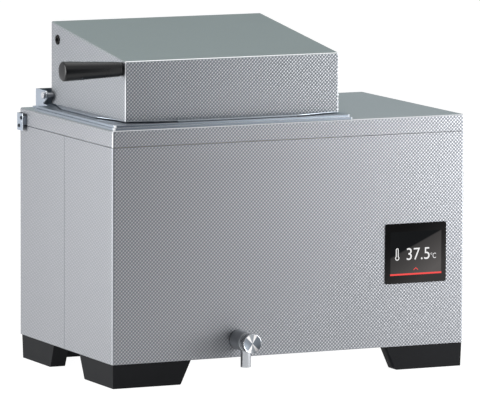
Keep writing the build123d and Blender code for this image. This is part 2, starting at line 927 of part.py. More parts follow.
# Lid: bent shell with one long slope down to the front, open underneath
lid_wall_planes = {
    side: Plane((x, 0, 0), x_dir=(0, 1, 0), z_dir=(1, 0, 0))
    for side, x in (("left", lid_left), ("right", lid_right))
}
with BuildPart() as lid:
    with BuildSketch(lid_wall_planes["left"]):
        with BuildLine():
            Polyline(
                (lid_front, lid_bottom),
                (lid_front, lid_bottom + lid_front_height),
                (lid_rear, lid_bottom + lid_rear_height),
                (lid_rear, lid_bottom),
                close=True,
            )
        make_face()
    extrude(amount=lid_width)
    fillet(lid.edges() - lid.faces().sort_by(Axis.Z)[0].edges(), lid_round)
    offset(amount=-sheet, openings=lid.faces().sort_by(Axis.Z)[0])
    with BuildSketch(lid_wall_planes["left"]):
        with Locations((handle_y, handle_z)):
            Circle(stud_diameter / 2 + hole_play)
        with Locations((port_y, port_z)):
            Circle(port_neck / 2 + hole_play)
        with Locations((pivot_y, pivot_z)):
            Circle(pivot_shank / 2 + hole_play)
    extrude(amount=2 * sheet, mode=Mode.SUBTRACT)
    with BuildSketch(lid_wall_planes["right"]):
        with Locations((pivot_y, pivot_z)):
            Circle(pivot_shank / 2 + hole_play)
    extrude(amount=-2 * sheet, mode=Mode.SUBTRACT)
lid.part.label = "lid"


def lip_outline(middle, straight, sweep, reach):
    """Lip of the lid rim: straight hemmed edge whose ends sweep back to the wall."""
    near = straight / 2
    far = near + sweep
    return [(middle - far, 0), (middle - near, reach), (middle + near, reach), (middle + far, 0)]


# Lid rim: flange under the walls, welded upstand inside them, lips on three sides
side_lip_middle = lid_middle[1] + lip_side_offset
side_lip_straight = lid_depth - 2 * (lip_side_end + lip_side_sweep)
front_lip_straight = lid_width - 2 * (lip_front_end + lip_front_sweep)
with BuildPart() as lid_rim:
    with BuildSketch(Plane.XY.offset(rim_bottom)):
        with Locations(lid_middle):
            RectangleRounded(lid_width, lid_depth, lid_round)
        for reach, edge, side in ((lip_left, lid_left, -1), (lip_right, lid_right, 1)):
            points = lip_outline(side_lip_middle, side_lip_straight, lip_side_sweep, reach)
            with BuildLine():
                FilletPolyline(*[(edge + side * out, y) for y, out in points], radius=lip_round)
                Line((edge, points[-1][0]), (edge, points[0][0]))
            make_face()
        points = lip_outline(lid_middle[0], front_lip_straight, lip_front_sweep, lip_front)
        with BuildLine():
            FilletPolyline(*[(x, lid_front - out) for x, out in points], radius=lip_round)
            Line((points[-1][0], lid_front), (points[0][0], lid_front))
        make_face()
        with Locations(lid_middle):
            Rectangle(
                lid_width - 2 * rim_inner_border,
                lid_depth - 2 * rim_inner_border,
                mode=Mode.SUBTRACT,
            )
    extrude(amount=sheet)
    with BuildSketch(Plane.XY.offset(lid_bottom)):
        with Locations(lid_middle):
            inner_width = lid_width - 2 * sheet
            inner_depth = lid_depth - 2 * sheet
            RectangleRounded(inner_width, inner_depth, lid_round - sheet)
            Rectangle(inner_width - 2 * sheet, inner_depth - 2 * sheet, mode=Mode.SUBTRACT)
    extrude(amount=rim_upstand)
    with BuildSketch(Plane.XY.offset(rim_bottom)):
        for edge, side in ((lid_left - lip_left, 1), (lid_right + lip_right, -1)):
            with Locations((edge + side * hem_width / 2, side_lip_middle)):
                Rectangle(hem_width, side_lip_straight - 2 * hem_end)
        with Locations((lid_middle[0], lid_front - lip_front + hem_width / 2)):
            Rectangle(front_lip_straight - 2 * hem_end, hem_width)
    extrude(amount=-hem_depth)
lid_rim.part.label = "lid_rim"

# Rubber grommet in the lid's left wall, its bore open for a cable
port_plane = Plane((lid_left, port_y, port_z), z_dir=(-1, 0, 0))
with BuildPart(port_plane) as port_grommet:
    Cylinder(
        port_flange / 2, port_flange_height, align=(Align.CENTER, Align.CENTER, Align.MIN)
    )
    chamfer(port_grommet.edges().sort_by(Axis.X)[0], port_flange_bevel)
    Cylinder(port_neck / 2, sheet, align=(Align.CENTER, Align.CENTER, Align.MAX))
    with BuildSketch(port_plane.offset(-sheet)):
        Circle(port_flange / 2)
    extrude(amount=-port_flange_height)
    Cylinder(port_bore / 2, port_flange * 2, mode=Mode.SUBTRACT)
port_grommet.part.label = "port_grommet"

# Handle: conical grip on a stud that passes through the lid's left wall
handle_plane = Plane((lid_left, handle_y, handle_z), z_dir=(-1, 0, 0))
with BuildPart(handle_plane) as handle_grip:
    Cylinder(
        handle_collar_diameter / 2,
        handle_collar,
        align=(Align.CENTER, Align.CENTER, Align.MIN),
    )
    with BuildSketch(handle_plane.offset(handle_collar)):
        Circle(handle_base / 2)
    with BuildSketch(handle_plane.offset(handle_length)):
        Circle(handle_end / 2)
    loft()
    chamfer(handle_grip.edges().sort_by(Axis.X)[0], handle_end_bevel)
    Cylinder(stud_diameter / 2 + hole_play, 2 * stud_depth, mode=Mode.SUBTRACT)
handle_grip.part.label = "handle_grip"

with BuildPart(handle_plane.offset(stud_depth - fit_gap)) as handle_stud:
    stud_length = stud_depth + sheet + washer_height + handle_nut_height + sheet
    Cylinder(stud_diameter / 2, stud_length, align=(Align.CENTER, Align.CENTER, Align.MAX))
    chamfer(handle_stud.edges().filter_by(GeomType.CIRCLE), stud_tip)
handle_stud.part.label = "handle_stud"

with BuildPart() as handle_washer:
    with BuildSketch(handle_plane.offset(-sheet)):
        Circle(washer_diameter / 2)
        Circle(stud_diameter / 2 + hole_play, mode=Mode.SUBTRACT)
    extrude(amount=-washer_height)
handle_washer.part.label = "handle_washer"

with BuildPart() as handle_nut:
    with BuildSketch(handle_plane.offset(-sheet - washer_height)):
        RegularPolygon(handle_nut_flats / 2, 6, major_radius=False)
        Circle(stud_diameter / 2 + hole_play, mode=Mode.SUBTRACT)
    extrude(amount=-handle_nut_height)
handle_nut.part.label = "handle_nut"

# Hinge bracket: sheet bent to a U behind the lid, its wings reaching over the frame
nose_tangent = radians(nose_angle)
with BuildPart() as hinge_bracket:
    box_between(
        (wing_outer[-1], plate_front, case_top),
        (wing_outer[1], plate_rear, plate_top),
    )
    box_between(
        (wing_outer[-1], plate_front, case_top),
        (wing_outer[1], plate_rear + bracket_foot, case_top + bracket_sheet),
    )
    for side in (-1, 1):
        with BuildSketch(Plane.YZ.offset(wing_outer[side])):
            with BuildLine():
                Polyline(
                    (plate_rear, case_top),
                    (plate_rear, plate_top),
                    (pivot_y, plate_top),
                    (
                        pivot_y - nose_radius * cos(nose_tangent),
                        pivot_z - nose_radius * sin(nose_tangent),
                    ),
                    (pivot_y + wing_neck_back, case_top + wing_neck_rise),
                    (pivot_y + wing_neck_back, frame_top + wing_toe_sheet),
                    (pivot_y - wing_toe, frame_top + wing_toe_sheet),
                    (pivot_y - wing_toe, frame_top),
                    (wing_foot_y, frame_top),
                    (wing_foot_y, case_top),
                    close=True,
                )
            make_face()
            with Locations((pivot_y, pivot_z)):
                Circle(nose_radius)
                Circle(pivot_shank / 2 + pivot_fit, mode=Mode.SUBTRACT)
        extrude(amount=-side * bracket_sheet)
        tab_near = wing_outer[side]
        tab_far = wing_outer[side] - side * (bracket_sheet + toe_tab)
        box_between(
            (min(tab_near, tab_far), pivot_y - wing_toe, frame_top),
            (max(tab_near, tab_far), frame_rear, frame_top + wing_toe_sheet),
        )
    with Locations(*bracket_screw_points):
        Hole(small_screw / 2 + hole_play, bracket_sheet * 2)
hinge_bracket.part.label = "hinge_bracket"

with BuildPart() as bracket_screws:
    with Locations(*bracket_screw_points):
        add(small_fastener)
bracket_screws.part.label = "bracket_screws"

# Pivot screws, spacers and nuts: they turn with the lid in the bores of the wings
pivot_planes = [
    Plane((wing_outer[side] + side * fit_gap, pivot_y, pivot_z), z_dir=(side, 0, 0))
    for side in (-1, 1)
]
pivot_grip = fit_gap + bracket_sheet + wing_clearance + sheet
pivot_screw = panel_screw(pivot_head, pivot_head_height, pivot_shank, pivot_grip + nut_height)
with BuildPart() as pivot_screws:
    for plane in pivot_planes:
        add(pivot_screw.located(plane.location))
pivot_screws.part.label = "pivot_screws"

with BuildPart() as pivot_spacers:
    for plane in pivot_planes:
        with BuildSketch(plane.offset(-(pivot_grip - sheet))):
            Circle(spacer_outer / 2)
            Circle(pivot_shank / 2 + hole_play, mode=Mode.SUBTRACT)
        extrude(amount=wing_clearance - fit_gap)
pivot_spacers.part.label = "pivot_spacers"

with BuildPart() as pivot_nuts:
    for plane in pivot_planes:
        with BuildSketch(plane.offset(-pivot_grip)):
            RegularPolygon(nut_flats / 2, 6, major_radius=False)
            Circle(pivot_shank / 2 + hole_play, mode=Mode.SUBTRACT)
        extrude(amount=-nut_height)
pivot_nuts.part.label = "pivot_nuts"


def seam_clip(side):
    """Plate that stands off one side of the casing across the seam under the cover."""
    panel_x = case_left if side < 0 else case_right
    outer = panel_x + side * (clip_stand_off + sheet)
    inner = panel_x + side * clip_stand_off
    return_bottom = clip_bottom + clip_return_low
    with BuildPart() as clip:
        box_between(
            (min(inner, outer), clip_front, clip_bottom),
            (max(inner, outer), clip_rear, clip_bottom + clip_height),
        )
        box_between(
            (min(panel_x, outer), clip_front, return_bottom),
            (max(panel_x, outer), clip_front + sheet, return_bottom + clip_return_height),
        )
        box_between(
            (min(panel_x, outer), clip_rear - sheet, clip_bottom),
            (max(panel_x, outer), clip_rear, clip_bottom + clip_height),
        )
        with Locations(*[Plane((outer, y, z), z_dir=(side, 0, 0)) for y, z in clip_screws_at]):
            Hole(small_screw / 2 + hole_play, 2 * sheet)
    return clip.part


with BuildPart() as seam_clip_left:
    add(seam_clip(-1))
seam_clip_left.part.label = "seam_clip_left"

with BuildPart() as seam_clip_right:
    add(seam_clip(1))
seam_clip_right.part.label = "seam_clip_right"

clip_screw = panel_screw(small_head, small_head_height, small_screw, clip_stand_off + sheet)
with BuildPart() as clip_screws:
    for side, panel_x in ((-1, case_left), (1, case_right)):
        outer = panel_x + side * (clip_stand_off + sheet)
        for y, z in clip_screws_at:
            add(clip_screw.located(Plane((outer, y, z), z_dir=(side, 0, 0)).location))
clip_screws.part.label = "clip_screws"


def corner_foot(x_side, y_side, corner_x, corner_y):
    """Moulded foot in an L under one corner, its arms tapering towards the bench."""

    def outline(length_x, length_y, inset):
        arm = foot_arm
        points = [
            (inset, inset),
            (length_x, inset),
            (length_x, arm),
            (arm, arm),
            (arm, length_y),
            (inset, length_y),
        ]
        return [(corner_x - x_side * x, corner_y - y_side * y) for x, y in points]

    with BuildPart() as foot:
        with BuildSketch(Plane.XY):
            with BuildLine():
                Polyline(
                    *outline(foot_top_x - foot_end_taper, foot_top_y - foot_end_taper, foot_draft),
                    close=True,
                )
            make_face()
        with BuildSketch(Plane.XY.offset(foot_height)):
            with BuildLine():
                Polyline(*outline(foot_top_x, foot_top_y, 0), close=True)
            make_face()
        loft()
        sole_edges = foot.edges().group_by(Axis.Z)[0]
        arm_ends = [edge for edge in sole_edges if edge.length < foot_arm + foot_draft]
        fillet(arm_ends, foot_round)
        screw_points = foot_screw_points(x_side, y_side, corner_x, corner_y)
        with Locations(*[Plane((x, y, 0), z_dir=(0, 0, -1)) for x, y in screw_points]):
            CounterBoreHole(foot_hole, foot_head / 2 + fit_gap, foot_bore_depth)
    return foot.part


feet = {}
foot_names = ("foot_front_left", "foot_rear_left", "foot_front_right", "foot_rear_right")
for foot_name, place in zip(foot_names, foot_places):
    feet[foot_name] = corner_foot(*place)
    feet[foot_name].label = foot_name

# Foot screws, heads up inside the counterbores
foot_fastener = panel_screw(
    foot_head,
    foot_head_height,
    foot_screw,
    foot_height - foot_bore_depth + base_sheet + base_sheet,
)
with BuildPart() as foot_screws:
    for x, y in all_foot_points:
        add(foot_fastener.located(Plane((x, y, foot_bore_depth), z_dir=(0, 0, -1)).location))
foot_screws.part.label = "foot_screws"

# Display: black glass on the panel, housing through the cut-out, screen and board inside
with BuildPart() as display_glass:
    with BuildSketch(Plane.XZ.offset(-case_front)):
        with Locations((display_x, display_z)):
            RectangleRounded(display_width, display_height, display_round)
    extrude(amount=glass_depth)
    chamfer(display_glass.faces().sort_by(Axis.Y)[0].edges(), glass_bevel)
display_glass.part.label = "display_glass"

boss_x = (housing_width - boss_diameter) / 2
boss_z = (housing_height - boss_diameter) / 2
board_y = case_front + housing_depth
with BuildPart() as display_housing:
    with BuildSketch(Plane.XZ.offset(-case_front)):
        with Locations((display_x, display_z)):
            Rectangle(housing_width, housing_height)
            Rectangle(
                housing_width - 2 * housing_wall,
                housing_height - 2 * housing_wall,
                mode=Mode.SUBTRACT,
            )
            with GridLocations(2 * boss_x, 2 * boss_z, 2, 2):
                Circle(boss_diameter / 2)
                Circle(small_screw / 2 + hole_play, mode=Mode.SUBTRACT)
    extrude(amount=-housing_depth)
display_housing.part.label = "display_housing"

with BuildPart() as screen_module:
    with BuildSketch(Plane.XZ.offset(-case_front)):
        with Locations((display_x, display_z)):
            Rectangle(
                housing_width - 2 * (boss_diameter + screen_module_border),
                housing_height - 2 * (housing_wall + fit_gap),
            )
    extrude(amount=-screen_module_depth)
screen_module.part.label = "screen_module"

with BuildPart() as display_board:
    with BuildSketch(Plane.XZ.offset(-board_y)):
        with Locations((display_x, display_z)):
            Rectangle(housing_width, housing_height)
            with GridLocations(2 * boss_x, 2 * boss_z, 2, 2):
                Circle(small_screw / 2 + hole_play, mode=Mode.SUBTRACT)
    extrude(amount=-board_sheet)
display_board.part.label = "display_board"

with BuildPart() as board_screws:
    for x_offset in (-boss_x, boss_x):
        for z_offset in (-boss_z, boss_z):
            centre = (display_x + x_offset, board_y + board_sheet, display_z + z_offset)
            add(small_fastener.located(Plane(centre, z_dir=(0, 1, 0)).location))
board_screws.part.label = "board_screws"

# Partition between the wet side and the electrics, folded at its foot
partition_front = case_front + sheet + base_sheet + fit_gap
partition_rear = case_rear - sheet - base_sheet - fit_gap
partition_low = case_bottom + base_sheet
partition_high = case_top - sheet - fit_gap
with BuildPart() as partition:
    box_between(
        (partition_x, partition_front, partition_low),
        (partition_x + sheet, partition_rear, partition_high),
    )
    box_between(
        (partition_x, partition_front, partition_low),
        (partition_x + partition_flange, partition_rear, partition_low + sheet),
    )
partition.part.label = "partition"

board_front = case_front + board_front_inset
board_low = case_bottom + board_rise
standoff_points = [
    (y, z)
    for y in (board_front + standoff_inset, board_front + board_length - standoff_inset)
    for z in (board_low + standoff_inset, board_low + board_height - standoff_inset)
]
board_plane = Plane.YZ.offset(partition_x + sheet + standoff_length)
with BuildPart() as board_standoffs:
    with BuildSketch(Plane.YZ.offset(partition_x + sheet)):
        with Locations(*standoff_points):
            RegularPolygon(standoff_flats / 2, 6, major_radius=False)
    extrude(amount=standoff_length)
board_standoffs.part.label = "board_standoffs"

# Control board with its terminal strip, capacitors and processor
with BuildPart() as control_board:
    with BuildSketch(board_plane):
        with Locations((board_front + board_length / 2, board_low + board_height / 2)):
            Rectangle(board_length, board_height)
    extrude(amount=board_sheet)
    face_plane = board_plane.offset(board_sheet)
    with BuildSketch(face_plane):
        with Locations((board_front + processor_at[0], board_low + processor_at[1])):
            Rectangle(processor_side, processor_side)
    extrude(amount=processor_height)
    with BuildSketch(face_plane):
        with Locations((board_front + capacitors_at[0], board_low + capacitors_at[1])):
            with GridLocations(0, capacitor_pitch, 1, 2):
                Circle(capacitor_diameter / 2)
    extrude(amount=capacitor_height)
    with BuildSketch(face_plane):
        with Locations((board_front + board_length / 2, board_low + strip_depth)):
            Rectangle(strip_length, strip_depth)
    extrude(amount=strip_height)
control_board.part.label = "control_board"

# Transformer, relay on its finned heat sink and mains terminals on the base plate
floor_z = case_bottom + base_sheet
electrics_x = (partition_x + partition_flange + case_right) / 2
transformer_y = case_front + board_front_inset
with BuildPart(Plane((electrics_x, transformer_y, floor_z))) as transformer:
    Box(*transformer_size, align=(Align.CENTER, Align.CENTER, Align.MIN))
    with Locations((0, 0, (transformer_size[2] - transformer_coil[2]) / 2)):
        Box(*transformer_coil, align=(Align.CENTER, Align.CENTER, Align.MIN))
transformer.part.label = "transformer"

sink_y = case_middle[1] + heat_sink_length / 2
with BuildPart() as heat_sink:
    with BuildSketch(Plane.XZ.offset(-sink_y)):
        with Locations((electrics_x, floor_z)):
            Rectangle(
                heat_sink_width, heat_sink_base, align=(Align.CENTER, Align.MIN)
            )
        fin_pitch = (heat_sink_width - heat_sink_fin) / (heat_sink_fins - 1)
        with Locations((electrics_x, floor_z + heat_sink_height / 2)):
            with GridLocations(fin_pitch, 0, heat_sink_fins, 1):
                Rectangle(heat_sink_fin, heat_sink_height)
    extrude(amount=heat_sink_length)
heat_sink.part.label = "heat_sink"

with BuildPart() as relay:
    with Locations((electrics_x, sink_y - heat_sink_length / 2, floor_z + heat_sink_height)):
        Box(*relay_size, align=(Align.CENTER, Align.CENTER, Align.MIN))
    with Locations(
        (electrics_x, sink_y - heat_sink_length / 2, floor_z + heat_sink_height + relay_size[2])
    ):
        with GridLocations(*relay_stud_pitch, 2, 2):
            Cylinder(
                relay_stud / 2, relay_stud_height, align=(Align.CENTER, Align.CENTER, Align.MIN)
            )
relay.part.label = "relay"

terminal_y = case_rear - inlet_body_depth - 2 * terminal_depth
with BuildPart(Plane((electrics_x, terminal_y, floor_z))) as terminal_block:
    Box(
        terminal_width,
        terminal_depth,
        terminal_height,
        align=(Align.CENTER, Align.CENTER, Align.MIN),
    )
    way_pitch = terminal_width / terminal_ways
    with Locations((0, 0, terminal_height)):
        with GridLocations(way_pitch, 0, terminal_ways, 1):
            Box(
                *terminal_pocket,
                align=(Align.CENTER, Align.CENTER, Align.MAX),
                mode=Mode.SUBTRACT,
            )
terminal_block.part.label = "terminal_block"

# Power entry in the rear panel: socket, fuse drawer and rocker well in one moulding
inlet_plane = Plane(
    (inlet_x, case_rear, case_bottom + inlet_rise), x_dir=(-1, 0, 0), z_dir=(0, 1, 0)
)
socket_y = socket_rise
axle_z = case_bottom + inlet_rise + rocker_rise
axle_y = case_rear + inlet_flange - rocker_axle_depth
with BuildPart() as power_inlet:
    with BuildSketch(inlet_plane):
        with Locations((0, inlet_height / 2)):
            RectangleRounded(inlet_width, inlet_height, inlet_flange)
    extrude(amount=inlet_flange)
    with BuildSketch(inlet_plane):
        with Locations((0, inlet_height / 2)):
            Rectangle(inlet_width - 2 * inlet_body_border, inlet_height - 2 * inlet_body_border)
    extrude(amount=-inlet_body_depth)
    with BuildSketch(inlet_plane.offset(inlet_flange)) as socket:
        with Locations((0, socket_y)):
            Rectangle(socket_width, socket_height)
        chamfer(socket.vertices().group_by(Axis.Z)[0], socket_corner)
    extrude(amount=-socket_depth, mode=Mode.SUBTRACT)
    with BuildSketch(inlet_plane.offset(inlet_flange)):
        with Locations((0, rocker_rise)):
            Rectangle(rocker_width + 2 * rocker_gap, rocker_height + 2 * rocker_swing_gap)
    extrude(amount=-rocker_well, mode=Mode.SUBTRACT)
    with BuildSketch(Plane.YZ.offset(inlet_x)):
        with Locations((axle_y, axle_z)):
            Circle(rocker_axle / 2 + pivot_fit)
    extrude(
        amount=rocker_width / 2 + rocker_axle + rocker_gap, both=True, mode=Mode.SUBTRACT
    )
    with BuildSketch(inlet_plane.offset(inlet_flange)):
        with Locations((0, fuse_rise)):
            Rectangle(fuse_width + 2 * hole_play, fuse_height + 2 * hole_play)
    extrude(amount=-fuse_depth, mode=Mode.SUBTRACT)
power_inlet.part.label = "power_inlet"

with BuildPart() as inlet_pins:
    with BuildSketch(inlet_plane.offset(inlet_flange - socket_depth)):
        for x, y in (
            (-pin_spacing / 2, socket_y - pin_middle_rise / 2),
            (0, socket_y + pin_middle_rise / 2),
            (pin_spacing / 2, socket_y - pin_middle_rise / 2),
        ):
            with Locations((x, y)):
                Rectangle(pin_thickness, pin_height)
    extrude(amount=pin_length)
inlet_pins.part.label = "inlet_pins"

with BuildPart() as fuse_drawer:
    with BuildSketch(inlet_plane.offset(inlet_flange - fuse_depth)):
        with Locations((0, fuse_rise)):
            Rectangle(fuse_width, fuse_height)
    extrude(amount=fuse_depth)
    with BuildSketch(inlet_plane.offset(inlet_flange)):
        with Locations((0, fuse_rise)):
            Rectangle(fuse_pull[0], fuse_pull[1])
    extrude(amount=-fuse_pull[2], mode=Mode.SUBTRACT)
fuse_drawer.part.label = "fuse_drawer"

# Rocker: two faces that meet over its axle, resting tipped to its off side
rocker_turn = radians(rocker_tilt)
rocker_plane = Plane(
    (inlet_x, axle_y, axle_z), x_dir=(0, cos(rocker_turn), sin(rocker_turn)), z_dir=(1, 0, 0)
)
with BuildPart() as power_rocker:
    with BuildSketch(rocker_plane):
        half = rocker_height / 2
        with BuildLine():
            Polyline(
                (-rocker_tail, -half / 2),
                (rocker_crown, -half),
                (rocker_face, 0),
                (rocker_crown, half),
                (-rocker_tail, half / 2),
                close=True,
            )
        make_face()
    extrude(amount=rocker_width / 2, both=True)
    with BuildSketch(rocker_plane):
        Circle(rocker_axle / 2)
    extrude(amount=rocker_width / 2 + rocker_axle, both=True)
power_rocker.part.label = "power_rocker"

pieces = [
    base_plate,
    front_casing,
    rear_casing,
    top_cover,
    tub,
    floor_grid,
    heater_mats,
    insulation_jacket,
    probe_gland,
    temperature_probe,
    cutout_bulb,
    drain_fitting,
    drain_nut,
    drain_hose,
    tap_body,
    tap_gasket_ring,
    tap_nut,
    tap_bonnet,
    tap_o_ring,
    tap_stem,
    tap_knob,
    valve_disc,
    valve_washer,
    lid,
    lid_rim,
    port_grommet,
    handle_grip,
    handle_stud,
    handle_washer,
    handle_nut,
    hinge_bracket,
    bracket_screws,
    pivot_screws,
    pivot_spacers,
    pivot_nuts,
    seam_clip_left,
    seam_clip_right,
    clip_screws,
    foot_screws,
    display_glass,
    display_housing,
    screen_module,
    display_board,
    board_screws,
    partition,
    board_standoffs,
    control_board,
    transformer,
    heat_sink,
    relay,
    terminal_block,
    power_inlet,
    inlet_pins,
    fuse_drawer,
    power_rocker,
]
os.makedirs("parts", exist_ok=True)
for piece in pieces:
    export_step(piece.part, f"parts/{piece.part.label}.step")
for foot in feet.values():
    export_step(foot, f"parts/{foot.label}.step")
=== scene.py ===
"""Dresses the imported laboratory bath: its finishes, turned and moulded pieces, screen and studio."""

import json
import logging
import math
from dataclasses import dataclass, field
from enum import Enum
from typing import Union

import bmesh
import bpy
from mathutils import Matrix, Vector


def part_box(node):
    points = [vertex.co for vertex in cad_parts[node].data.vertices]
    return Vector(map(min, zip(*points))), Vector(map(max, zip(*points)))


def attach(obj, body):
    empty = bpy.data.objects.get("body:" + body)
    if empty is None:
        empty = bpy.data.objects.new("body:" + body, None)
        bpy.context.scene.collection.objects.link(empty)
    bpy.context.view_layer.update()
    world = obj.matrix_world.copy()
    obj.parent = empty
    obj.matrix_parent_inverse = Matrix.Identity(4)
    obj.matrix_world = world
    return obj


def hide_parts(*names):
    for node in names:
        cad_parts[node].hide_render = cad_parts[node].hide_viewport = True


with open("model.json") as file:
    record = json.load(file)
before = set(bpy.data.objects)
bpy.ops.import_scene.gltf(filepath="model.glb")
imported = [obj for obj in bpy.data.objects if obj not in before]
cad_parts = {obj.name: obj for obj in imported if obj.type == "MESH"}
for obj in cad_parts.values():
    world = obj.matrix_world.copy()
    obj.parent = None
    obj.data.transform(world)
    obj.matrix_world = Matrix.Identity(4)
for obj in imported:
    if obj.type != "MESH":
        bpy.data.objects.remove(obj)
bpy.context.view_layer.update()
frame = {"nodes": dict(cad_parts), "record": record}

MM = 0.001
NOWHERE = 1.0e4  # millimetres, past every surface
COLOUR_A, COLOUR_B, MIXED_COLOUR = 6, 7, 2  # the Mix node's colour sockets
Colour = tuple[float, float, float]
Place = tuple[float, float, float]
Stretch = tuple[float, float, float]
Point = tuple[float, float]
Span = tuple[float, float]
Paint = Union[Colour, bpy.types.NodeSocket]
Number = Union[int, float, "Value"]
log = logging.getLogger("bath")


class Axis(Enum):
    """Direction in which a turned piece points away from what carries it."""

    LEFT = Vector((-1.0, 0.0, 0.0))
    FRONT = Vector((0.0, -1.0, 0.0))
    DOWN = Vector((0.0, 0.0, -1.0))


def srgb(red: float, green: float, blue: float) -> Colour:
    """Linear colour of a display colour given in steps of 255."""
    values = []
    for step in (red, green, blue):
        share = step / 255
        values.append(share / 12.92 if share <= 0.04045 else ((share + 0.055) / 1.055) ** 2.4)
    return (values[0], values[1], values[2])


def dimmed(colour: Colour, share: float) -> Colour:
    """A colour with each of its channels times a share."""
    return (colour[0] * share, colour[1] * share, colour[2] * share)


class Value:
    """A number that varies over a surface; its operators add the Math nodes they stand for."""

    def __init__(self, shader: "Shader", socket: bpy.types.NodeSocket) -> None:
        """Wraps one output socket of the shader."""
        self.shader = shader
        self.socket = socket

    def math(self, operation: str, *others: Number, clamp: bool = False) -> "Value":
        """Adds a Math node.

        Args:
            operation: the node's operation.
            others: its second and third inputs.
            clamp: whether the result is kept between 0 and 1.

        Returns:
            The node's result.
        """
        inputs = dict(enumerate((self, *others)))
        node = self.shader.node("ShaderNodeMath", {"operation": operation, "use_clamp": clamp}, inputs)
        return Value(self.shader, node.outputs[0])

    def __add__(self, other: Number) -> "Value":
        """Sum."""
        return self.math("ADD", other)

    def __radd__(self, other: Number) -> "Value":
        """Sum with a plain number on the left."""
        return self.math("ADD", other)

    def __sub__(self, other: Number) -> "Value":
        """Difference."""
        return self.math("SUBTRACT", other)

    def __rsub__(self, other: Number) -> "Value":
        """Difference from a plain number on the left."""
        return self.math("MULTIPLY_ADD", -1.0, other)

    def __mul__(self, other: Number) -> "Value":
        """Product."""
        return self.math("MULTIPLY", other)

    def __truediv__(self, other: Number) -> "Value":
        """Quotient."""
        return self.math("DIVIDE", other)

    def __pow__(self, other: Number) -> "Value":
        """Power."""
        return self.math("POWER", other)

    def __abs__(self) -> "Value":
        """Size without sign."""
        return self.math("ABSOLUTE")

    def sine(self) -> "Value":
        """Sine of an angle in radians."""
        return self.math("SINE")

    def clamp(self) -> "Value":
        """The value kept between 0 and 1."""
        return self.math("ADD", 0.0, clamp=True)

    def rises(self, start: float, end: float) -> "Value":
        """Goes smoothly from 0 at start to 1 at end."""
        node = self.shader.node(
            "ShaderNodeMapRange",
            {"interpolation_type": "SMOOTHSTEP"},
            {"Value": self, "From Min": start, "From Max": end},
        )
        return Value(self.shader, node.outputs[0])


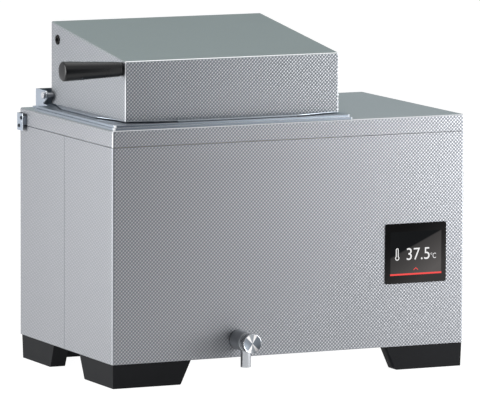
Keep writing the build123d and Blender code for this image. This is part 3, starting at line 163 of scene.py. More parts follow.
class Shader:
    """A node material under construction, with its surface shader and object coordinates."""

    FOLD_RANGE: Span = (0.04, 0.14)
    FRONT_RANGE: Span = (0.2, 0.4)
    SIDE_RANGE: Span = (0.8, 0.9)

    def __init__(self, name: str) -> None:
        """Starts the material of that name with an empty node tree."""
        self.material = bpy.data.materials.new(name)
        self.material.use_nodes = True
        self.tree = self.material.node_tree
        self.tree.nodes.clear()
        self.surface = self.node("ShaderNodeBsdfPrincipled")
        self.output = self.node("ShaderNodeOutputMaterial", {}, {"Surface": self.surface.outputs[0]})
        self.coordinates = self.node("ShaderNodeTexCoord").outputs["Object"]

    def node(self, kind: str, settings: dict | None = None, inputs: dict | None = None) -> bpy.types.Node:
        """Adds one node.

        Args:
            kind: the node's type.
            settings: its properties.
            inputs: values or links by socket name or number.

        Returns:
            The new node.
        """
        made = self.tree.nodes.new(kind)
        for name, value in (settings or {}).items():
            setattr(made, name, value)
        for name, value in (inputs or {}).items():
            if isinstance(value, Value):
                value = value.socket
            if isinstance(value, bpy.types.NodeSocket):
                self.tree.links.new(value, made.inputs[name])
            else:
                made.inputs[name].default_value = value
        return made

    def place(self) -> tuple[Value, Value, Value]:
        """The surface point's x, y and z in millimetres."""
        split = self.node("ShaderNodeSeparateXYZ", {}, {0: self.coordinates})
        x, y, z = (Value(self, socket) / MM for socket in split.outputs)
        return x, y, z

    def facing(self) -> tuple[Value, Value, Value]:
        """How much the surface faces along x, y and z, without sign."""
        normal = self.node("ShaderNodeTexCoord").outputs["Normal"]
        split = self.node("ShaderNodeSeparateXYZ", {}, {0: normal})
        x, y, z = (abs(Value(self, socket)) for socket in split.outputs)
        return x, y, z

    def highlight_bends(self) -> Value:
        """1 on folds and rounded edges that meet a front wall, where an edge highlight is painted, 0 on
        walls and flat faces.
        """
        x, y, z = self.facing()
        most = x.math("MAXIMUM", y).math("MAXIMUM", z)
        return (1.0 - most).rises(*self.FOLD_RANGE) * y.rises(*self.FRONT_RANGE)

    def sideways(self) -> Value:
        """1 where the piece faces left or right."""
        return self.facing()[0].rises(*self.SIDE_RANGE)

    def stretched(self, scale: Stretch) -> bpy.types.NodeSocket:
        """Object coordinates scaled along each axis, for grain that runs one way."""
        return self.node("ShaderNodeMapping", {}, {"Vector": self.coordinates, "Scale": scale}).outputs[0]

    def noise(self, scale: float, detail: float = 2.0, stretch: Stretch = (1.0, 1.0, 1.0)) -> Value:
        """Soft noise between 0 and 1.

        Args:
            scale: features per metre.
            detail: octaves of finer noise.
            stretch: how much faster it varies along each axis.

        Returns:
            The noise.
        """
        inputs = {"Vector": self.stretched(stretch), "Scale": scale, "Detail": detail}
        return Value(self, self.node("ShaderNodeTexNoise", {}, inputs).outputs[0])

    def mix(self, share: Number, low: Paint, high: Paint) -> bpy.types.NodeSocket:
        """Colour between two, by share."""
        node = self.node("ShaderNodeMix", {"data_type": "RGBA"}, {0: share})
        for number, colour in ((COLOUR_A, low), (COLOUR_B, high)):
            if isinstance(colour, bpy.types.NodeSocket):
                self.tree.links.new(colour, node.inputs[number])
            else:
                node.inputs[number].default_value = (*colour, 1.0)
        return node.outputs[MIXED_COLOUR]

    def bump(self, height: Value, depth: float, strength: float = 1.0) -> None:
        """Raises the surface by height times depth in metres."""
        inputs = {"Strength": strength, "Distance": depth, "Height": height}
        normal = self.node("ShaderNodeBump", {}, inputs).outputs[0]
        self.tree.links.new(normal, self.surface.inputs["Normal"])

    def finish(self, **sockets: object) -> bpy.types.Material:
        """Sets the surface shader's sockets by name, with underscores for spaces.

        Returns:
            The finished material.
        """
        for name, value in sockets.items():
            socket = self.surface.inputs[name.replace("_", " ")]
            if isinstance(value, Value):
                value = value.socket
            if isinstance(value, bpy.types.NodeSocket):
                self.tree.links.new(value, socket)
            elif isinstance(value, tuple) and len(value) == 3:
                socket.default_value = (*value, 1.0)
            else:
                socket.default_value = value
        return self.material


@dataclass(frozen=True)
class EmbossedSheet:
    """Stainless sheet rolled with staggered bumps, smooth above a plane that may slope to the rear."""

    name: str
    # pits and tops: painted shade in the hollows and painted light on the tops of the bumps
    pit_painted_shade: Colour = srgb(111, 115, 121)
    top_painted_light: Colour = srgb(165, 165, 167)
    smooth: Colour = srgb(172, 178, 181)
    # painted highlight on folds and rounded edges
    painted_edge_highlight: Colour = srgb(232, 233, 235)
    metallic: float = 0.93
    roughness: float = 0.43
    roughness_smooth: float = 0.36
    roughness_grain: float = 0.08
    pitch: float = 5.45
    lean: float = 0.57
    relief: float = 0.18
    pit_range: Span = (-0.5, 0.9)
    bump_range: Span = (-0.7, 1.0)
    grain_scale: float = 260.0
    grain_relief: float = 0.02
    cloud_scale: float = 7.0
    cloud_shade: float = 0.95
    smooth_from: float = 1.0
    smooth_at: float = 0.0
    smooth_edge: Span = (-1.6, -0.9)
    slope: float = 0.0
    # painted shade in the gap under the cover's rim
    joint: Colour = srgb(84, 93, 104)
    joint_height: float = NOWHERE
    joint_depth: float = NOWHERE
    joint_width: float = 0.9
    joint_fade: float = 0.3
    upright_share: float = 0.6

    def build(self) -> bpy.types.Material:
        """Builds the material."""
        shader = Shader(self.name)
        x, y, z = shader.place()
        turn = 2 * math.pi / self.pitch
        along = (x + y) * turn
        up = z * turn
        bumps = (along - up).sine() * self.lean + (along + up).sine() * (1.0 - self.lean)
        flat = (z - self.smooth_from - (y - self.smooth_at) * self.slope).rises(*self.smooth_edge)
        grain = shader.noise(self.grain_scale, 3.0)
        cloud = shader.noise(self.cloud_scale)
        # painted shading of the bumps: darker pits, lighter tops, leaning one way as the light falls
        walls = shader.mix(bumps.rises(*self.pit_range), self.pit_painted_shade, self.top_painted_light)
        clouded = shader.mix(cloud, self.smooth, dimmed(self.smooth, self.cloud_shade))
        highlight_bends = shader.highlight_bends()
        # painted highlight along the folds and rounded edges
        colour = shader.mix(highlight_bends, shader.mix(flat, walls, clouded), self.painted_edge_highlight)
        # painted shade in the gap under the cover's rim and along the upright seam, on the side faces
        colour = shader.mix(self.joints(y, z) * shader.sideways(), colour, self.joint)
        height = bumps.rises(*self.bump_range) * (1.0 - flat) * (1.0 - highlight_bends)
        shader.bump(height + grain * flat * self.grain_relief, self.relief * MM)
        smoother = self.roughness - self.roughness_smooth
        roughness = self.roughness + grain * self.roughness_grain - flat * smoother
        return shader.finish(Base_Color=colour, Metallic=self.metallic, Roughness=roughness)

    def joints(self, y: Value, z: Value) -> Value:
        """1 on the painted shade in the gap under the cover's rim and, fainter, on the upright seam."""
        width = self.joint_width
        level = 1.0 - abs(z - self.joint_height).rises(width, width + self.joint_fade)
        upright = 1.0 - abs(y - self.joint_depth).rises(width * 0.5, width)
        return level.math("MAXIMUM", upright * self.upright_share)


@dataclass(frozen=True)
class SatinSheet:
    """Smooth stainless sheet with a fine grain that runs one way."""

    name: str
    colour: Colour = srgb(158, 166, 175)
    metallic: float = 0.95
    roughness: float = 0.3
    grain: Stretch = (1.0, 12.0, 12.0)
    grain_scale: float = 420.0
    cloud_scale: float = 9.0
    shade: float = 0.86
    lines_share: float = 0.2
    cloud_share: float = 0.4
    relief: float = 0.01
    relief_strength: float = 0.2
    roughness_lines: float = 0.05
    # painted highlight on folds and rounded edges
    painted_edge_highlight: Colour = srgb(236, 238, 240)

    def build(self) -> bpy.types.Material:
        """Builds the material."""
        shader = Shader(self.name)
        lines = shader.noise(self.grain_scale, 3.0, self.grain)
        cloud = shader.noise(self.cloud_scale)
        share = lines * self.lines_share + cloud * self.cloud_share
        colour = shader.mix(share, self.colour, dimmed(self.colour, self.shade))
        # painted highlight along the folds and rounded edges
        colour = shader.mix(shader.highlight_bends(), colour, self.painted_edge_highlight)
        shader.bump(lines, self.relief * MM, self.relief_strength)
        roughness = self.roughness + lines * self.roughness_lines
        return shader.finish(Base_Color=colour, Metallic=self.metallic, Roughness=roughness)


@dataclass(frozen=True)
class TurnedMetal:
    """Satin nickel turned on a lathe: fine rings, and painted wedges of sheen across the flat end face,
    with painted shade between them.
    """

    name: str
    colour: Colour = srgb(184, 187, 191)
    shade: Colour = srgb(112, 119, 127)
    # painted sheen of the wedges on the end face
    painted_sheen: Colour = srgb(238, 236, 236)
    centre: Point = (0.0, 0.0)
    face_from: float = 0.0
    face_depth: Span = (0.5, 0.8)
    face_radius: float = 13.5
    face_fade: float = 0.2
    wedges: tuple[float, ...] = (-35.0, 22.0)
    wedge_width: Span = (0.12, 0.27)
    quiet_wedge: float = -6.0
    quiet_width: Span = (0.3, 0.5)
    quiet_share: float = 0.45
    ring_turns: float = 9.0
    ring_relief: float = 0.012
    relief_strength: float = 0.6
    grain_scale: float = 300.0
    grain: Stretch = (1.0, 14.0, 1.0)
    grain_share: float = 0.12
    metallic: float = 0.95
    sheen: float = 0.16
    sheen_lines: float = 0.02
    sheen_face: float = 0.2

    def wedge(self, angle: Value, middle_degrees: float, width: Span) -> Value:
        """1 on a wedge that runs across the face at an angle, fading over its width."""
        return 1.0 - abs((angle - math.radians(middle_degrees)).sine()).rises(*width)

    def build(self) -> bpy.types.Material:
        """Builds the material."""
        shader = Shader(self.name)
        x, y, z = shader.place()
        across = x - self.centre[0]
        up = z - self.centre[1]
        radius = (across * across + up * up).math("SQRT")
        angle = across.math("ARCTAN2", up)
        rim = radius.rises(self.face_radius - self.face_fade, self.face_radius + self.face_fade)
        on_face = (1.0 - (y - self.face_from).rises(*self.face_depth)) * (1.0 - rim)
        # painted sheen: bright wedges and a lighter quiet wedge on a painted shaded face, standing for a
        # brushed face's reflection
        glow: Number = 0.0
        for turn in self.wedges:
            glow = self.wedge(angle, turn, self.wedge_width) + glow
        quiet = self.wedge(angle, self.quiet_wedge, self.quiet_width) * self.quiet_share
        face = shader.mix(quiet, self.shade, self.colour)
        face = shader.mix(glow.clamp(), face, self.painted_sheen)
        lines = shader.noise(self.grain_scale, 3.0, self.grain)
        rings = (radius * self.ring_turns).sine() * 0.5 + 0.5
        body = shader.mix(lines * self.grain_share, self.colour, self.shade)
        colour = shader.mix(on_face, body, face)
        shader.bump(rings * on_face, self.ring_relief * MM, self.relief_strength)
        roughness = self.sheen + lines * self.sheen_lines + on_face * self.sheen_face
        return shader.finish(Base_Color=colour, Metallic=self.metallic, Roughness=roughness)


@dataclass(frozen=True)
class Moulded:
    """Moulded plastic or rubber with a fine spark-eroded grain."""

    name: str
    colour: Colour
    roughness: float = 0.45
    grain: float = 900.0
    depth: float = 0.05
    specular: float = 0.5
    relief_strength: float = 0.6
    lightening: float = 1.35
    lift: float = 0.002
    cloud_scale: float = 25.0
    cloud_share: float = 0.6
    speckle_share: float = 0.3
    roughness_spread: float = 0.06

    def build(self) -> bpy.types.Material:
        """Builds the material."""
        shader = Shader(self.name)
        speckle = shader.noise(self.grain)
        cloud = shader.noise(self.cloud_scale)
        red, green, blue = dimmed(self.colour, self.lightening)
        lighter = (red + self.lift, green + self.lift, blue + self.lift)
        share = cloud * self.cloud_share + speckle * self.speckle_share
        colour = shader.mix(share, self.colour, lighter)
        shader.bump(speckle, self.depth * MM, self.relief_strength)
        roughness = self.roughness - self.roughness_spread + cloud * (2 * self.roughness_spread)
        return shader.finish(Base_Color=colour, Roughness=roughness, Specular_IOR_Level=self.specular)


@dataclass(frozen=True)
class PlainMetal:
    """Plated or bare metal of fasteners and inner parts, with mottling and handling marks."""

    name: str
    colour: Colour
    roughness: float = 0.32
    mottle: float = 60.0
    shade: float = 0.72
    metallic: float = 0.9
    grain_scale: float = 700.0
    relief: float = 0.01
    relief_strength: float = 0.4
    roughness_marks: float = 0.15

    def build(self) -> bpy.types.Material:
        """Builds the material."""
        shader = Shader(self.name)
        marks = shader.noise(self.mottle, 4.0)
        colour = shader.mix(marks, self.colour, dimmed(self.colour, self.shade))
        shader.bump(shader.noise(self.grain_scale), self.relief * MM, self.relief_strength)
        roughness = self.roughness + marks * self.roughness_marks
        return shader.finish(Base_Color=colour, Metallic=self.metallic, Roughness=roughness)


@dataclass(frozen=True)
class ScreenGlass:
    """Black printed glass over a screen, with a painted reflection glowing over the screen and its border
    that grows towards the lower right corner.
    """

    name: str
    left: float
    bottom: float
    width: float
    height: float
    border: Colour = srgb(5, 5, 6)
    dim: Colour = srgb(12, 14, 16)
    # painted reflection on the glass, glowing
    painted_reflection: Colour = srgb(90, 87, 86)
    pane: Colour = (0.001, 0.001, 0.001)
    gloss: float = 0.05
    roughness: float = 0.06
    smudge_scale: float = 40.0
    roughness_smudge: float = 0.05
    edge_width: float = 0.8
    reflection_reach: Span = (0.55, 0.62)
    slant: Span = (0.6, 0.40)
    slant_fade: Span = (-0.02, 0.03)
    reflection_step: float = 0.22
    border_reflection_share: float = 0.35

    def build(self) -> bpy.types.Material:
        """Builds the material."""
        shader = Shader(self.name)
        x, y, z = shader.place()
        share = (x - self.left) / self.width
        rise = (z - self.bottom) / self.height
        inside = self.within(x - self.left, self.width) * self.within(z - self.bottom, self.height)
        # painted reflection: grows to the lower right and steps up below a slanted line, glowing from the
        # screen and the black border
        rightward, downward = self.reflection_reach
        corner = (share * rightward + (1.0 - rise) * downward).clamp() ** 2.0
        steepness, start = self.slant
        below = (share * steepness + start - rise).rises(*self.slant_fade)
        screen = shader.mix(corner * below, self.dim, self.painted_reflection)
        screen = shader.mix(below * self.reflection_step, screen, self.painted_reflection)
        outer = shader.mix(corner * self.border_reflection_share, self.border, self.painted_reflection)
        smudge = shader.noise(self.smudge_scale, 3.0)
        return shader.finish(
            Base_Color=self.pane,
            Roughness=self.roughness + smudge * self.roughness_smudge,
            Specular_IOR_Level=self.gloss,
            Emission_Color=shader.mix(inside, outer, screen),
            Emission_Strength=1.0,
        )

    def within(self, distance: Value, size: float) -> Value:
        """1 between 0 and a size, with soft edges."""
        return distance.rises(0.0, self.edge_width) * (1.0 - (distance - size).rises(-self.edge_width, 0.0))


@dataclass(frozen=True)
class ScreenInk:
    """Lit colour of a sign on the screen."""

    name: str
    colour: Colour
    base: Colour = (0.02, 0.02, 0.02)
    dot_scale: float = 1500.0
    dot_shade: float = 0.8
    dot_share: float = 0.2
    roughness: float = 0.4
    specular: float = 0.1

    def build(self) -> bpy.types.Material:
        """Builds the material."""
        shader = Shader(self.name)
        dots = shader.noise(self.dot_scale, 1.0)
        glow = shader.mix(dots * self.dot_share, self.colour, dimmed(self.colour, self.dot_shade))
        return shader.finish(
            Base_Color=self.base,
            Roughness=self.roughness,
            Specular_IOR_Level=self.specular,
            Emission_Color=glow,
            Emission_Strength=1.0,
        )


@dataclass(frozen=True)
class CircuitBoard:
    """Lacquered board with traces that run in short lanes."""

    name: str
    lacquer: Colour = srgb(24, 92, 48)
    trace: Colour = srgb(66, 142, 84)
    lane_turns: Span = (1.9, 0.55)
    lane_range: Span = (0.35, 0.5)
    break_range: Span = (0.45, 0.6)
    break_scale: float = 160.0
    relief: float = 0.05
    relief_strength: float = 0.5
    roughness: float = 0.3
    roughness_spread: float = 0.1
    coat: float = 0.4

    def build(self) -> bpy.types.Material:
        """Builds the material."""
        shader = Shader(self.name)
        x, y, z = shader.place()
        along, up = self.lane_turns
        lanes = ((y * along).sine() * (z * up).sine()).rises(*self.lane_range)
        fine = shader.noise(self.break_scale)
        colour = shader.mix(lanes * fine.rises(*self.break_range), self.lacquer, self.trace)
        shader.bump(lanes, self.relief * MM, self.relief_strength)
        roughness = self.roughness + fine * self.roughness_spread
        return shader.finish(Base_Color=colour, Roughness=roughness, Coat_Weight=self.coat)


@dataclass(frozen=True)
class Fibre:
    """Pressed mineral fibre with loose strands."""

    name: str
    colour: Colour = srgb(205, 196, 160)
    shade: float = 0.6
    strand_scale: float = 320.0
    strand_stretch: Stretch = (1.0, 1.0, 4.0)
    strand_share: float = 0.6
    tuft_scale: float = 45.0
    tuft_share: float = 0.4
    relief: float = 0.8
    roughness: float = 0.95

    def build(self) -> bpy.types.Material:
        """Builds the material."""
        shader = Shader(self.name)
        strands = shader.noise(self.strand_scale, 5.0, self.strand_stretch)
        tufts = shader.noise(self.tuft_scale, 3.0)
        share = strands * self.strand_share + tufts * self.tuft_share
        colour = shader.mix(share, dimmed(self.colour, self.shade), self.colour)
        shader.bump(strands, self.relief * MM)
        return shader.finish(Base_Color=colour, Roughness=self.roughness)


def cover(piece: bpy.types.Object, material: bpy.types.Material) -> None:
    """Gives a piece one material in every slot."""
    if not piece.material_slots:
        piece.data.materials.append(material)
    for slot in piece.material_slots:
        slot.link = "OBJECT"
        slot.material = material


def linked(name: str, work: bmesh.types.BMesh) -> bpy.types.Object:
    """Makes an object of a bmesh, links it to the scene and frees the bmesh."""
    mesh = bpy.data.meshes.new(name)
    work.to_mesh(mesh)
    work.free()
    made = bpy.data.objects.new(name, mesh)
    bpy.context.scene.collection.objects.link(made)
    return made


def smooth_by_angle(mesh: bpy.types.Mesh, degrees: float) -> None:
    """Shades a mesh smooth, with edges sharper than the angle kept crisp."""
    mesh.polygons.foreach_set("use_smooth", [True] * len(mesh.polygons))
    mesh.set_sharp_from_angle(angle=math.radians(degrees))


@dataclass
class Maker:
    """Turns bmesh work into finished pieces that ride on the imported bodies."""

    crisp_angle: float = 32.0
    flat_angle: float = 0.5
    packed_merge: float = 0.002
    turned_merge: float = 0.001

    def piece(
        self,
        name: str,
        work: bmesh.types.BMesh,
        body: str,
        material: bpy.types.Material,
        slot: str,
        replaces: tuple[str, ...] = (),
    ) -> bpy.types.Object:
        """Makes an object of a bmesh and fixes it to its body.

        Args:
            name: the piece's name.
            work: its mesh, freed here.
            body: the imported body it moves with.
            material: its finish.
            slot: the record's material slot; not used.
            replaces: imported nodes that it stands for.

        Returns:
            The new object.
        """
        bmesh.ops.recalc_face_normals(work, faces=work.faces)
        made = linked(name, work)
        smooth_by_angle(made.data, self.crisp_angle)
        cover(made, material)
        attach(made, body)
        if replaces:
            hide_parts(*replaces)
        log.info("piece %s rides on %s", name, body)
        return made

    def refined(
        self,
        node: str,
        name: str,
        body: str,
        material: bpy.types.Material,
        slot: str,
        edge: float = 0.0,
        segments: int = 2,
    ) -> bpy.types.Object:
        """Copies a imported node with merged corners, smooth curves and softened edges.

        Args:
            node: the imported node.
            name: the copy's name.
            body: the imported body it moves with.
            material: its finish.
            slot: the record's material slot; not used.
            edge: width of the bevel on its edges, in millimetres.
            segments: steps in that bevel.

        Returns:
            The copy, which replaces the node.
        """
        work = bmesh.new()
        work.from_mesh(frame["nodes"][node].data)
        bmesh.ops.remove_doubles(work, verts=work.verts, dist=self.packed_merge * MM)
        flat = math.radians(self.flat_angle)
        bmesh.ops.dissolve_limit(work, angle_limit=flat, verts=work.verts, edges=work.edges)
        made = self.piece(name, work, body, material, slot, (node,))
        if edge:
            bevel = made.modifiers.new("softened_edges", "BEVEL")
            bevel.width = edge * MM
            bevel.segments = segments
            bevel.limit_method = "ANGLE"
            bevel.angle_limit = math.radians(self.crisp_angle)
            bevel.harden_normals = False
        return made

    def turned(
        self, profile: list[Point], foot: Vector, axis: Vector, steps: int = 96
    ) -> bmesh.types.BMesh:
        """Spins an outline round an axis.

        Args:
            profile: (distance along the axis, radius) pairs in millimetres.
            foot: the axis's start.
            axis: its direction.
            steps: facets round the turn.

        Returns:
            The closed shape.
        """
        work = bmesh.new()
        side = axis.orthogonal().normalized()
        verts = [work.verts.new(foot + axis * along * MM + side * radius * MM) for along, radius in profile]
        edges = [work.edges.new(pair) for pair in zip(verts, verts[1:])]
        geometry = [*verts, *edges]
        bmesh.ops.spin(
            work, geom=geometry, cent=foot, axis=axis, angle=2 * math.pi, steps=steps, use_merge=True
        )
        bmesh.ops.remove_doubles(work, verts=work.verts, dist=self.turned_merge * MM)
        return work

    @staticmethod
    def rounded(corner: Point, radius: float, start: float, end: float, steps: int = 5) -> list[Point]:
        """Points of an arc for an outline.

        Args:
            corner: the arc's centre; for a turned outline (distance along the axis, radius).
            radius: the arc's radius.
            start: its first angle in degrees from the axis's direction.
            end: its last angle.
            steps: stretches between them.

        Returns:
            The points.
        """
        points = []
        for step in range(steps + 1):
            angle = math.radians(start + (end - start) * step / steps)
            points.append((corner[0] + radius * math.cos(angle), corner[1] + radius * math.sin(angle)))
        return points

    @staticmethod
    def join(target: bmesh.types.BMesh, other: bmesh.types.BMesh) -> None:
        """Adds another shape to a bmesh and frees the other."""
        passing = bpy.data.meshes.new("passing")
        other.to_mesh(passing)
        other.free()
        target.from_mesh(passing)
        bpy.data.meshes.remove(passing)


maker = Maker()


def middle(node: str) -> Vector:
    """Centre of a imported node's box."""
    low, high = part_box(node)
    return (low + high) / 2


@dataclass
class Finishes:
    """Every material of the bath, made once and shared by its pieces."""

    lid_drop: float = 36.0
    screen_corner: Point = (8.0, 12.5)
    screen_size: Point = (86.0, 66.0)
    slots: dict[str, bpy.types.Material] = field(default_factory=dict)

    def sheets(self) -> tuple:
        """Recipes of the embossed sheets and the satin ones."""
        cover_low, cover_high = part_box("top_cover")
        lid_low, lid_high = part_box("lid")
        slope = self.lid_drop * MM / (lid_high.y - lid_low.y)
        return (
            EmbossedSheet(
                "embossed_steel",
                smooth_from=NOWHERE,
                # dimmer painted edge highlight on the casing
                painted_edge_highlight=srgb(164, 167, 172),
                joint_height=cover_low.z / MM,
                joint_depth=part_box("front_casing")[1].y / MM,
            ),
            EmbossedSheet("embossed_cover", smooth_from=cover_high.z / MM, painted_edge_highlight=srgb(206, 208, 211)),
            EmbossedSheet(
                "embossed_lid",
                # painted shade and light of the lid's bumps
                pit_painted_shade=srgb(102, 107, 113),
                top_painted_light=srgb(162, 163, 165),
                smooth=srgb(154, 163, 163),
                smooth_from=lid_high.z / MM,
                smooth_at=lid_high.y / MM,
                slope=slope,
            ),
            SatinSheet("smooth_steel"),
            SatinSheet("drawn_steel", srgb(144, 153, 163), grain=(1.0, 10.0, 10.0)),
            SatinSheet("bracket_steel", srgb(178, 188, 200)),
        )

    def metals(self) -> tuple:
        """Recipes of the tap's nickel, the fasteners and the inner metals."""
        tap = middle("tap_knob")
        centre = (tap.x / MM, tap.z / MM)
        return (
            TurnedMetal("tap_nickel", centre=centre, face_from=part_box("tap_knob")[0].y / MM),
            TurnedMetal("tap_casting", centre=centre, face_from=-NOWHERE, sheen=0.28),
            PlainMetal("zinc_steel", srgb(206, 208, 212)),
            PlainMetal("brass_fitting", srgb(196, 164, 96)),
            PlainMetal("winding_copper", srgb(168, 102, 60), 0.4, 220.0),
            PlainMetal("sink_aluminium", srgb(190, 192, 196), 0.35),
            PlainMetal("pin_brass", srgb(214, 204, 170), 0.2),
            PlainMetal("dark_screws", srgb(70, 74, 80), 0.3),
        )

    def mouldings(self) -> tuple:
        """Recipes of the plastics, rubbers and fibre."""
        return (
            Moulded("black_handle", srgb(12, 13, 15), 0.28, 1200.0, 0.02, 0.3),
            Moulded("black_plastic", srgb(34, 35, 37), 0.5),
            Moulded("foot_plastic", srgb(21, 22, 24), 0.6, 700.0, 0.08, 0.08),
            Moulded("black_rubber", srgb(12, 12, 13), 0.8, 500.0, 0.05, 0.15),
            Moulded("hose_silicone", srgb(206, 206, 200), 0.4, 300.0, 0.03),
            Moulded("mat_silicone", srgb(178, 78, 48), 0.6, 350.0, 0.10),
            Moulded("screen_panel", srgb(40, 41, 44), 0.3, 400.0, 0.02),
            Moulded("relay_plastic", srgb(44, 46, 50), 0.4),
            Moulded("terminal_plastic", srgb(224, 220, 206), 0.45),
            Fibre("mineral_fibre"),
        )

    def electronics(self) -> tuple:
        """Recipes of the screen, its signs and the circuit boards."""
        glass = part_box("display_glass")[0]
        left, bottom = self.screen_corner
        return (
            ScreenGlass("black_glass", glass.x / MM + left, glass.z / MM + bottom, *self.screen_size),
            CircuitBoard("board_green"),
            ScreenInk("white_ink", srgb(246, 246, 246)),
            ScreenInk("red_ink", srgb(250, 66, 62)),
        )

    def build(self) -> None:
        """Builds the materials, keyed by the record's slot names and a few finer ones."""
        for recipe in (*self.sheets(), *self.metals(), *self.mouldings(), *self.electronics()):
            self.slots[recipe.name] = recipe.build()
            log.info("finish %s", recipe.name)

    def dress_nodes(self) -> None:
        """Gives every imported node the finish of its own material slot."""
        for row in frame["record"]["subparts"]:
            cover(frame["nodes"][row["node"]], self.slots[row["material_slot"]])


finishes = Finishes()


@dataclass
class Casing:
    """Cover, tub with its stepped frame, and the clips across the side seams."""

    frame_edge: float = 1.5
    clip_edge: float = 0.3

    def dress(self) -> None:
        """Gives the cover its smooth top, softens tub and clips, and darkens the clips' screws."""
        slots = finishes.slots
        cover(frame["nodes"]["top_cover"], slots["embossed_cover"])
        maker.refined("tub", "drawn_tub", "casing", slots["drawn_steel"], "drawn_steel", self.frame_edge, 3)
        for side in ("left", "right"):
            node, name = f"seam_clip_{side}", f"folded_clip_{side}"
            maker.refined(node, name, "casing", slots["bracket_steel"], "smooth_steel", self.clip_edge)
        cover(frame["nodes"]["clip_screws"], slots["dark_screws"])


@dataclass
class LidRim:
    """Lid shell, and the rim under it with its hemmed lips."""

    hem_edge: float = 0.8

    def dress(self) -> None:
        """Gives the lid its smooth slope and softens the rim."""
        slots = finishes.slots
        cover(frame["nodes"]["lid"], slots["embossed_lid"])
        maker.refined("lid_rim", "hemmed_rim", "lid", slots["smooth_steel"], "smooth_steel", self.hem_edge)


@dataclass
class HingeParts:
    """Bracket behind the lid, its pivots, and the grommet of the cable port."""

    bracket_edge: float = 0.4

    def dress(self) -> None:
        """Softens the bracket and smooths the round pieces."""
        slots = finishes.slots
        maker.refined(
            "hinge_bracket",
            "folded_bracket",
            "casing",
            slots["bracket_steel"],
            "smooth_steel",
            self.bracket_edge,
        )
        for node in ("pivot_screws", "pivot_spacers"):
            maker.refined(node, f"round_{node}", "lid", slots["zinc_steel"], "zinc_steel")
        maker.refined("port_grommet", "round_grommet", "lid", slots["black_rubber"], "black_rubber")


@dataclass
class Handle:
    """Tapered grip on its collar, pointing left from the lid."""

    collar_length: float = 4.0
    collar_radius: float = 10.0
    base_radius: float = 11.0
    base_round: float = 1.2
    end_radius: float = 14.7
    end_round: float = 2.6
    end_arc: Span = (92.0, 8.0)
    end_steps: int = 8
    crown: float = 0.5
    crown_edge: float = 0.3

    def build(self) -> None:
        """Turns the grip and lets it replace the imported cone."""
        low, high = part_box("handle_grip")
        foot = Vector((high.x, (low.y + high.y) / 2, (low.z + high.z) / 2))
        length = (high.x - low.x) / MM
        base = (self.collar_length + self.base_round, self.base_radius - self.base_round)
        end = (length - self.end_round - self.crown, self.end_radius - self.end_round)
        profile = [
            (0.0, 0.0),
            (0.0, self.collar_radius),
            (self.collar_length, self.collar_radius),
            *maker.rounded(base, self.base_round, 180.0, 90.0),
            *maker.rounded(end, self.end_round, *self.end_arc, self.end_steps),
            (length - self.crown * self.crown_edge, self.end_radius * 0.5),
            (length, 0.0),
        ]
        work = maker.turned(profile, foot, Axis.LEFT.value)
        material = finishes.slots["black_handle"]
        maker.piece("grip", work, "lid", material, "black_handle", ("handle_grip",))


@dataclass
class DrainTap:
    """Turned tap body with its spout, and the knob on its stem."""

    gasket: float = 1.5
    barrel_radius: float = 14.8
    barrel_end: float = 34.0
    barrel_round: float = 0.8
    spout_distance: float = 26.0
    spout_start: float = 2.0
    spout_radius: float = 7.5
    spout_bore: float = 5.5
    spout_bore_depth: float = 18.0
    spout_drop: float = 37.8
    spout_lip: float = 0.5
    spout_steps: int = 64
    knob_start: float = 35.5
    knob_end: float = 50.0
    knob_radius: float = 14.7
    knob_round: float = 0.9
    knob_arc_end: float = 15.0
    groove_start: float = 39.6
    groove_end: float = 41.6
    groove_depth: float = 1.5
    groove_round: float = 0.4
    groove_steps: int = 3
    face_dish: float = 0.3
    face_border: float = 0.3

    def foot(self) -> Vector:
        """Point where the tap's axis meets the front panel."""
        axis = middle("tap_knob")
        return Vector((axis.x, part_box("front_casing")[0].y, axis.z))

    def barrel(self) -> bmesh.types.BMesh:
        """Barrel of the casting, in front of its gasket."""
        bend = self.barrel_round
        inside = self.barrel_radius - bend
        profile = [
            (self.gasket, 0.0),
            (self.gasket, inside),
            *maker.rounded((self.gasket + bend, inside), bend, 180.0, 90.0),
            *maker.rounded((self.barrel_end - bend, inside), bend, 90.0, 0.0),
            (self.barrel_end, 0.0),
        ]
        return maker.turned(profile, self.foot(), Axis.FRONT.value)

    def spout(self) -> bmesh.types.BMesh:
        """Spout under the barrel, bored from its mouth."""
        top = self.foot() + Axis.FRONT.value * self.spout_distance * MM
        drop, lip = self.spout_drop, self.spout_lip
        profile = [
            (self.spout_start, 0.0),
            (self.spout_start, self.spout_radius),
            *maker.rounded((drop - lip, self.spout_radius - lip), lip, 90.0, 0.0),
            (drop, self.spout_bore),
            (drop - self.spout_bore_depth, self.spout_bore),
            (drop - self.spout_bore_depth, 0.0),
        ]
        return maker.turned(profile, top, Axis.DOWN.value, self.spout_steps)

    def knob(self) -> bmesh.types.BMesh:
        """Knob with its groove and dished face."""
        radius, bend = self.knob_radius, self.knob_round
        small, steps = self.groove_round, self.groove_steps
        face = self.knob_end - self.face_dish
        profile = [
            (self.knob_start, 0.0),
            *maker.rounded((self.knob_start + bend, radius - bend), bend, 180.0, 90.0),
            *maker.rounded((self.groove_start - small, radius - small), small, 90.0, 0.0, steps),
            (self.groove_start, radius - self.groove_depth),
            (self.groove_end, radius - self.groove_depth),
            *maker.rounded((self.groove_end + small, radius - small), small, 180.0, 90.0, steps),
            *maker.rounded((self.knob_end - bend, radius - bend), bend, 90.0, self.knob_arc_end),
            (face, radius - bend - self.face_border),
            (face, 0.0),
        ]
        return maker.turned(profile, self.foot(), Axis.FRONT.value)

    def build(self) -> None:
        """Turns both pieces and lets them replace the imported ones."""
        slots = finishes.slots
        casting = self.barrel()
        maker.join(casting, self.spout())
        maker.piece("tap_casting", casting, "casing", slots["tap_casting"], "tap_nickel", ("tap_body",))
        knob = self.knob()
        maker.piece("turned_knob", knob, "tap_knob", slots["tap_nickel"], "tap_nickel", ("tap_knob",))


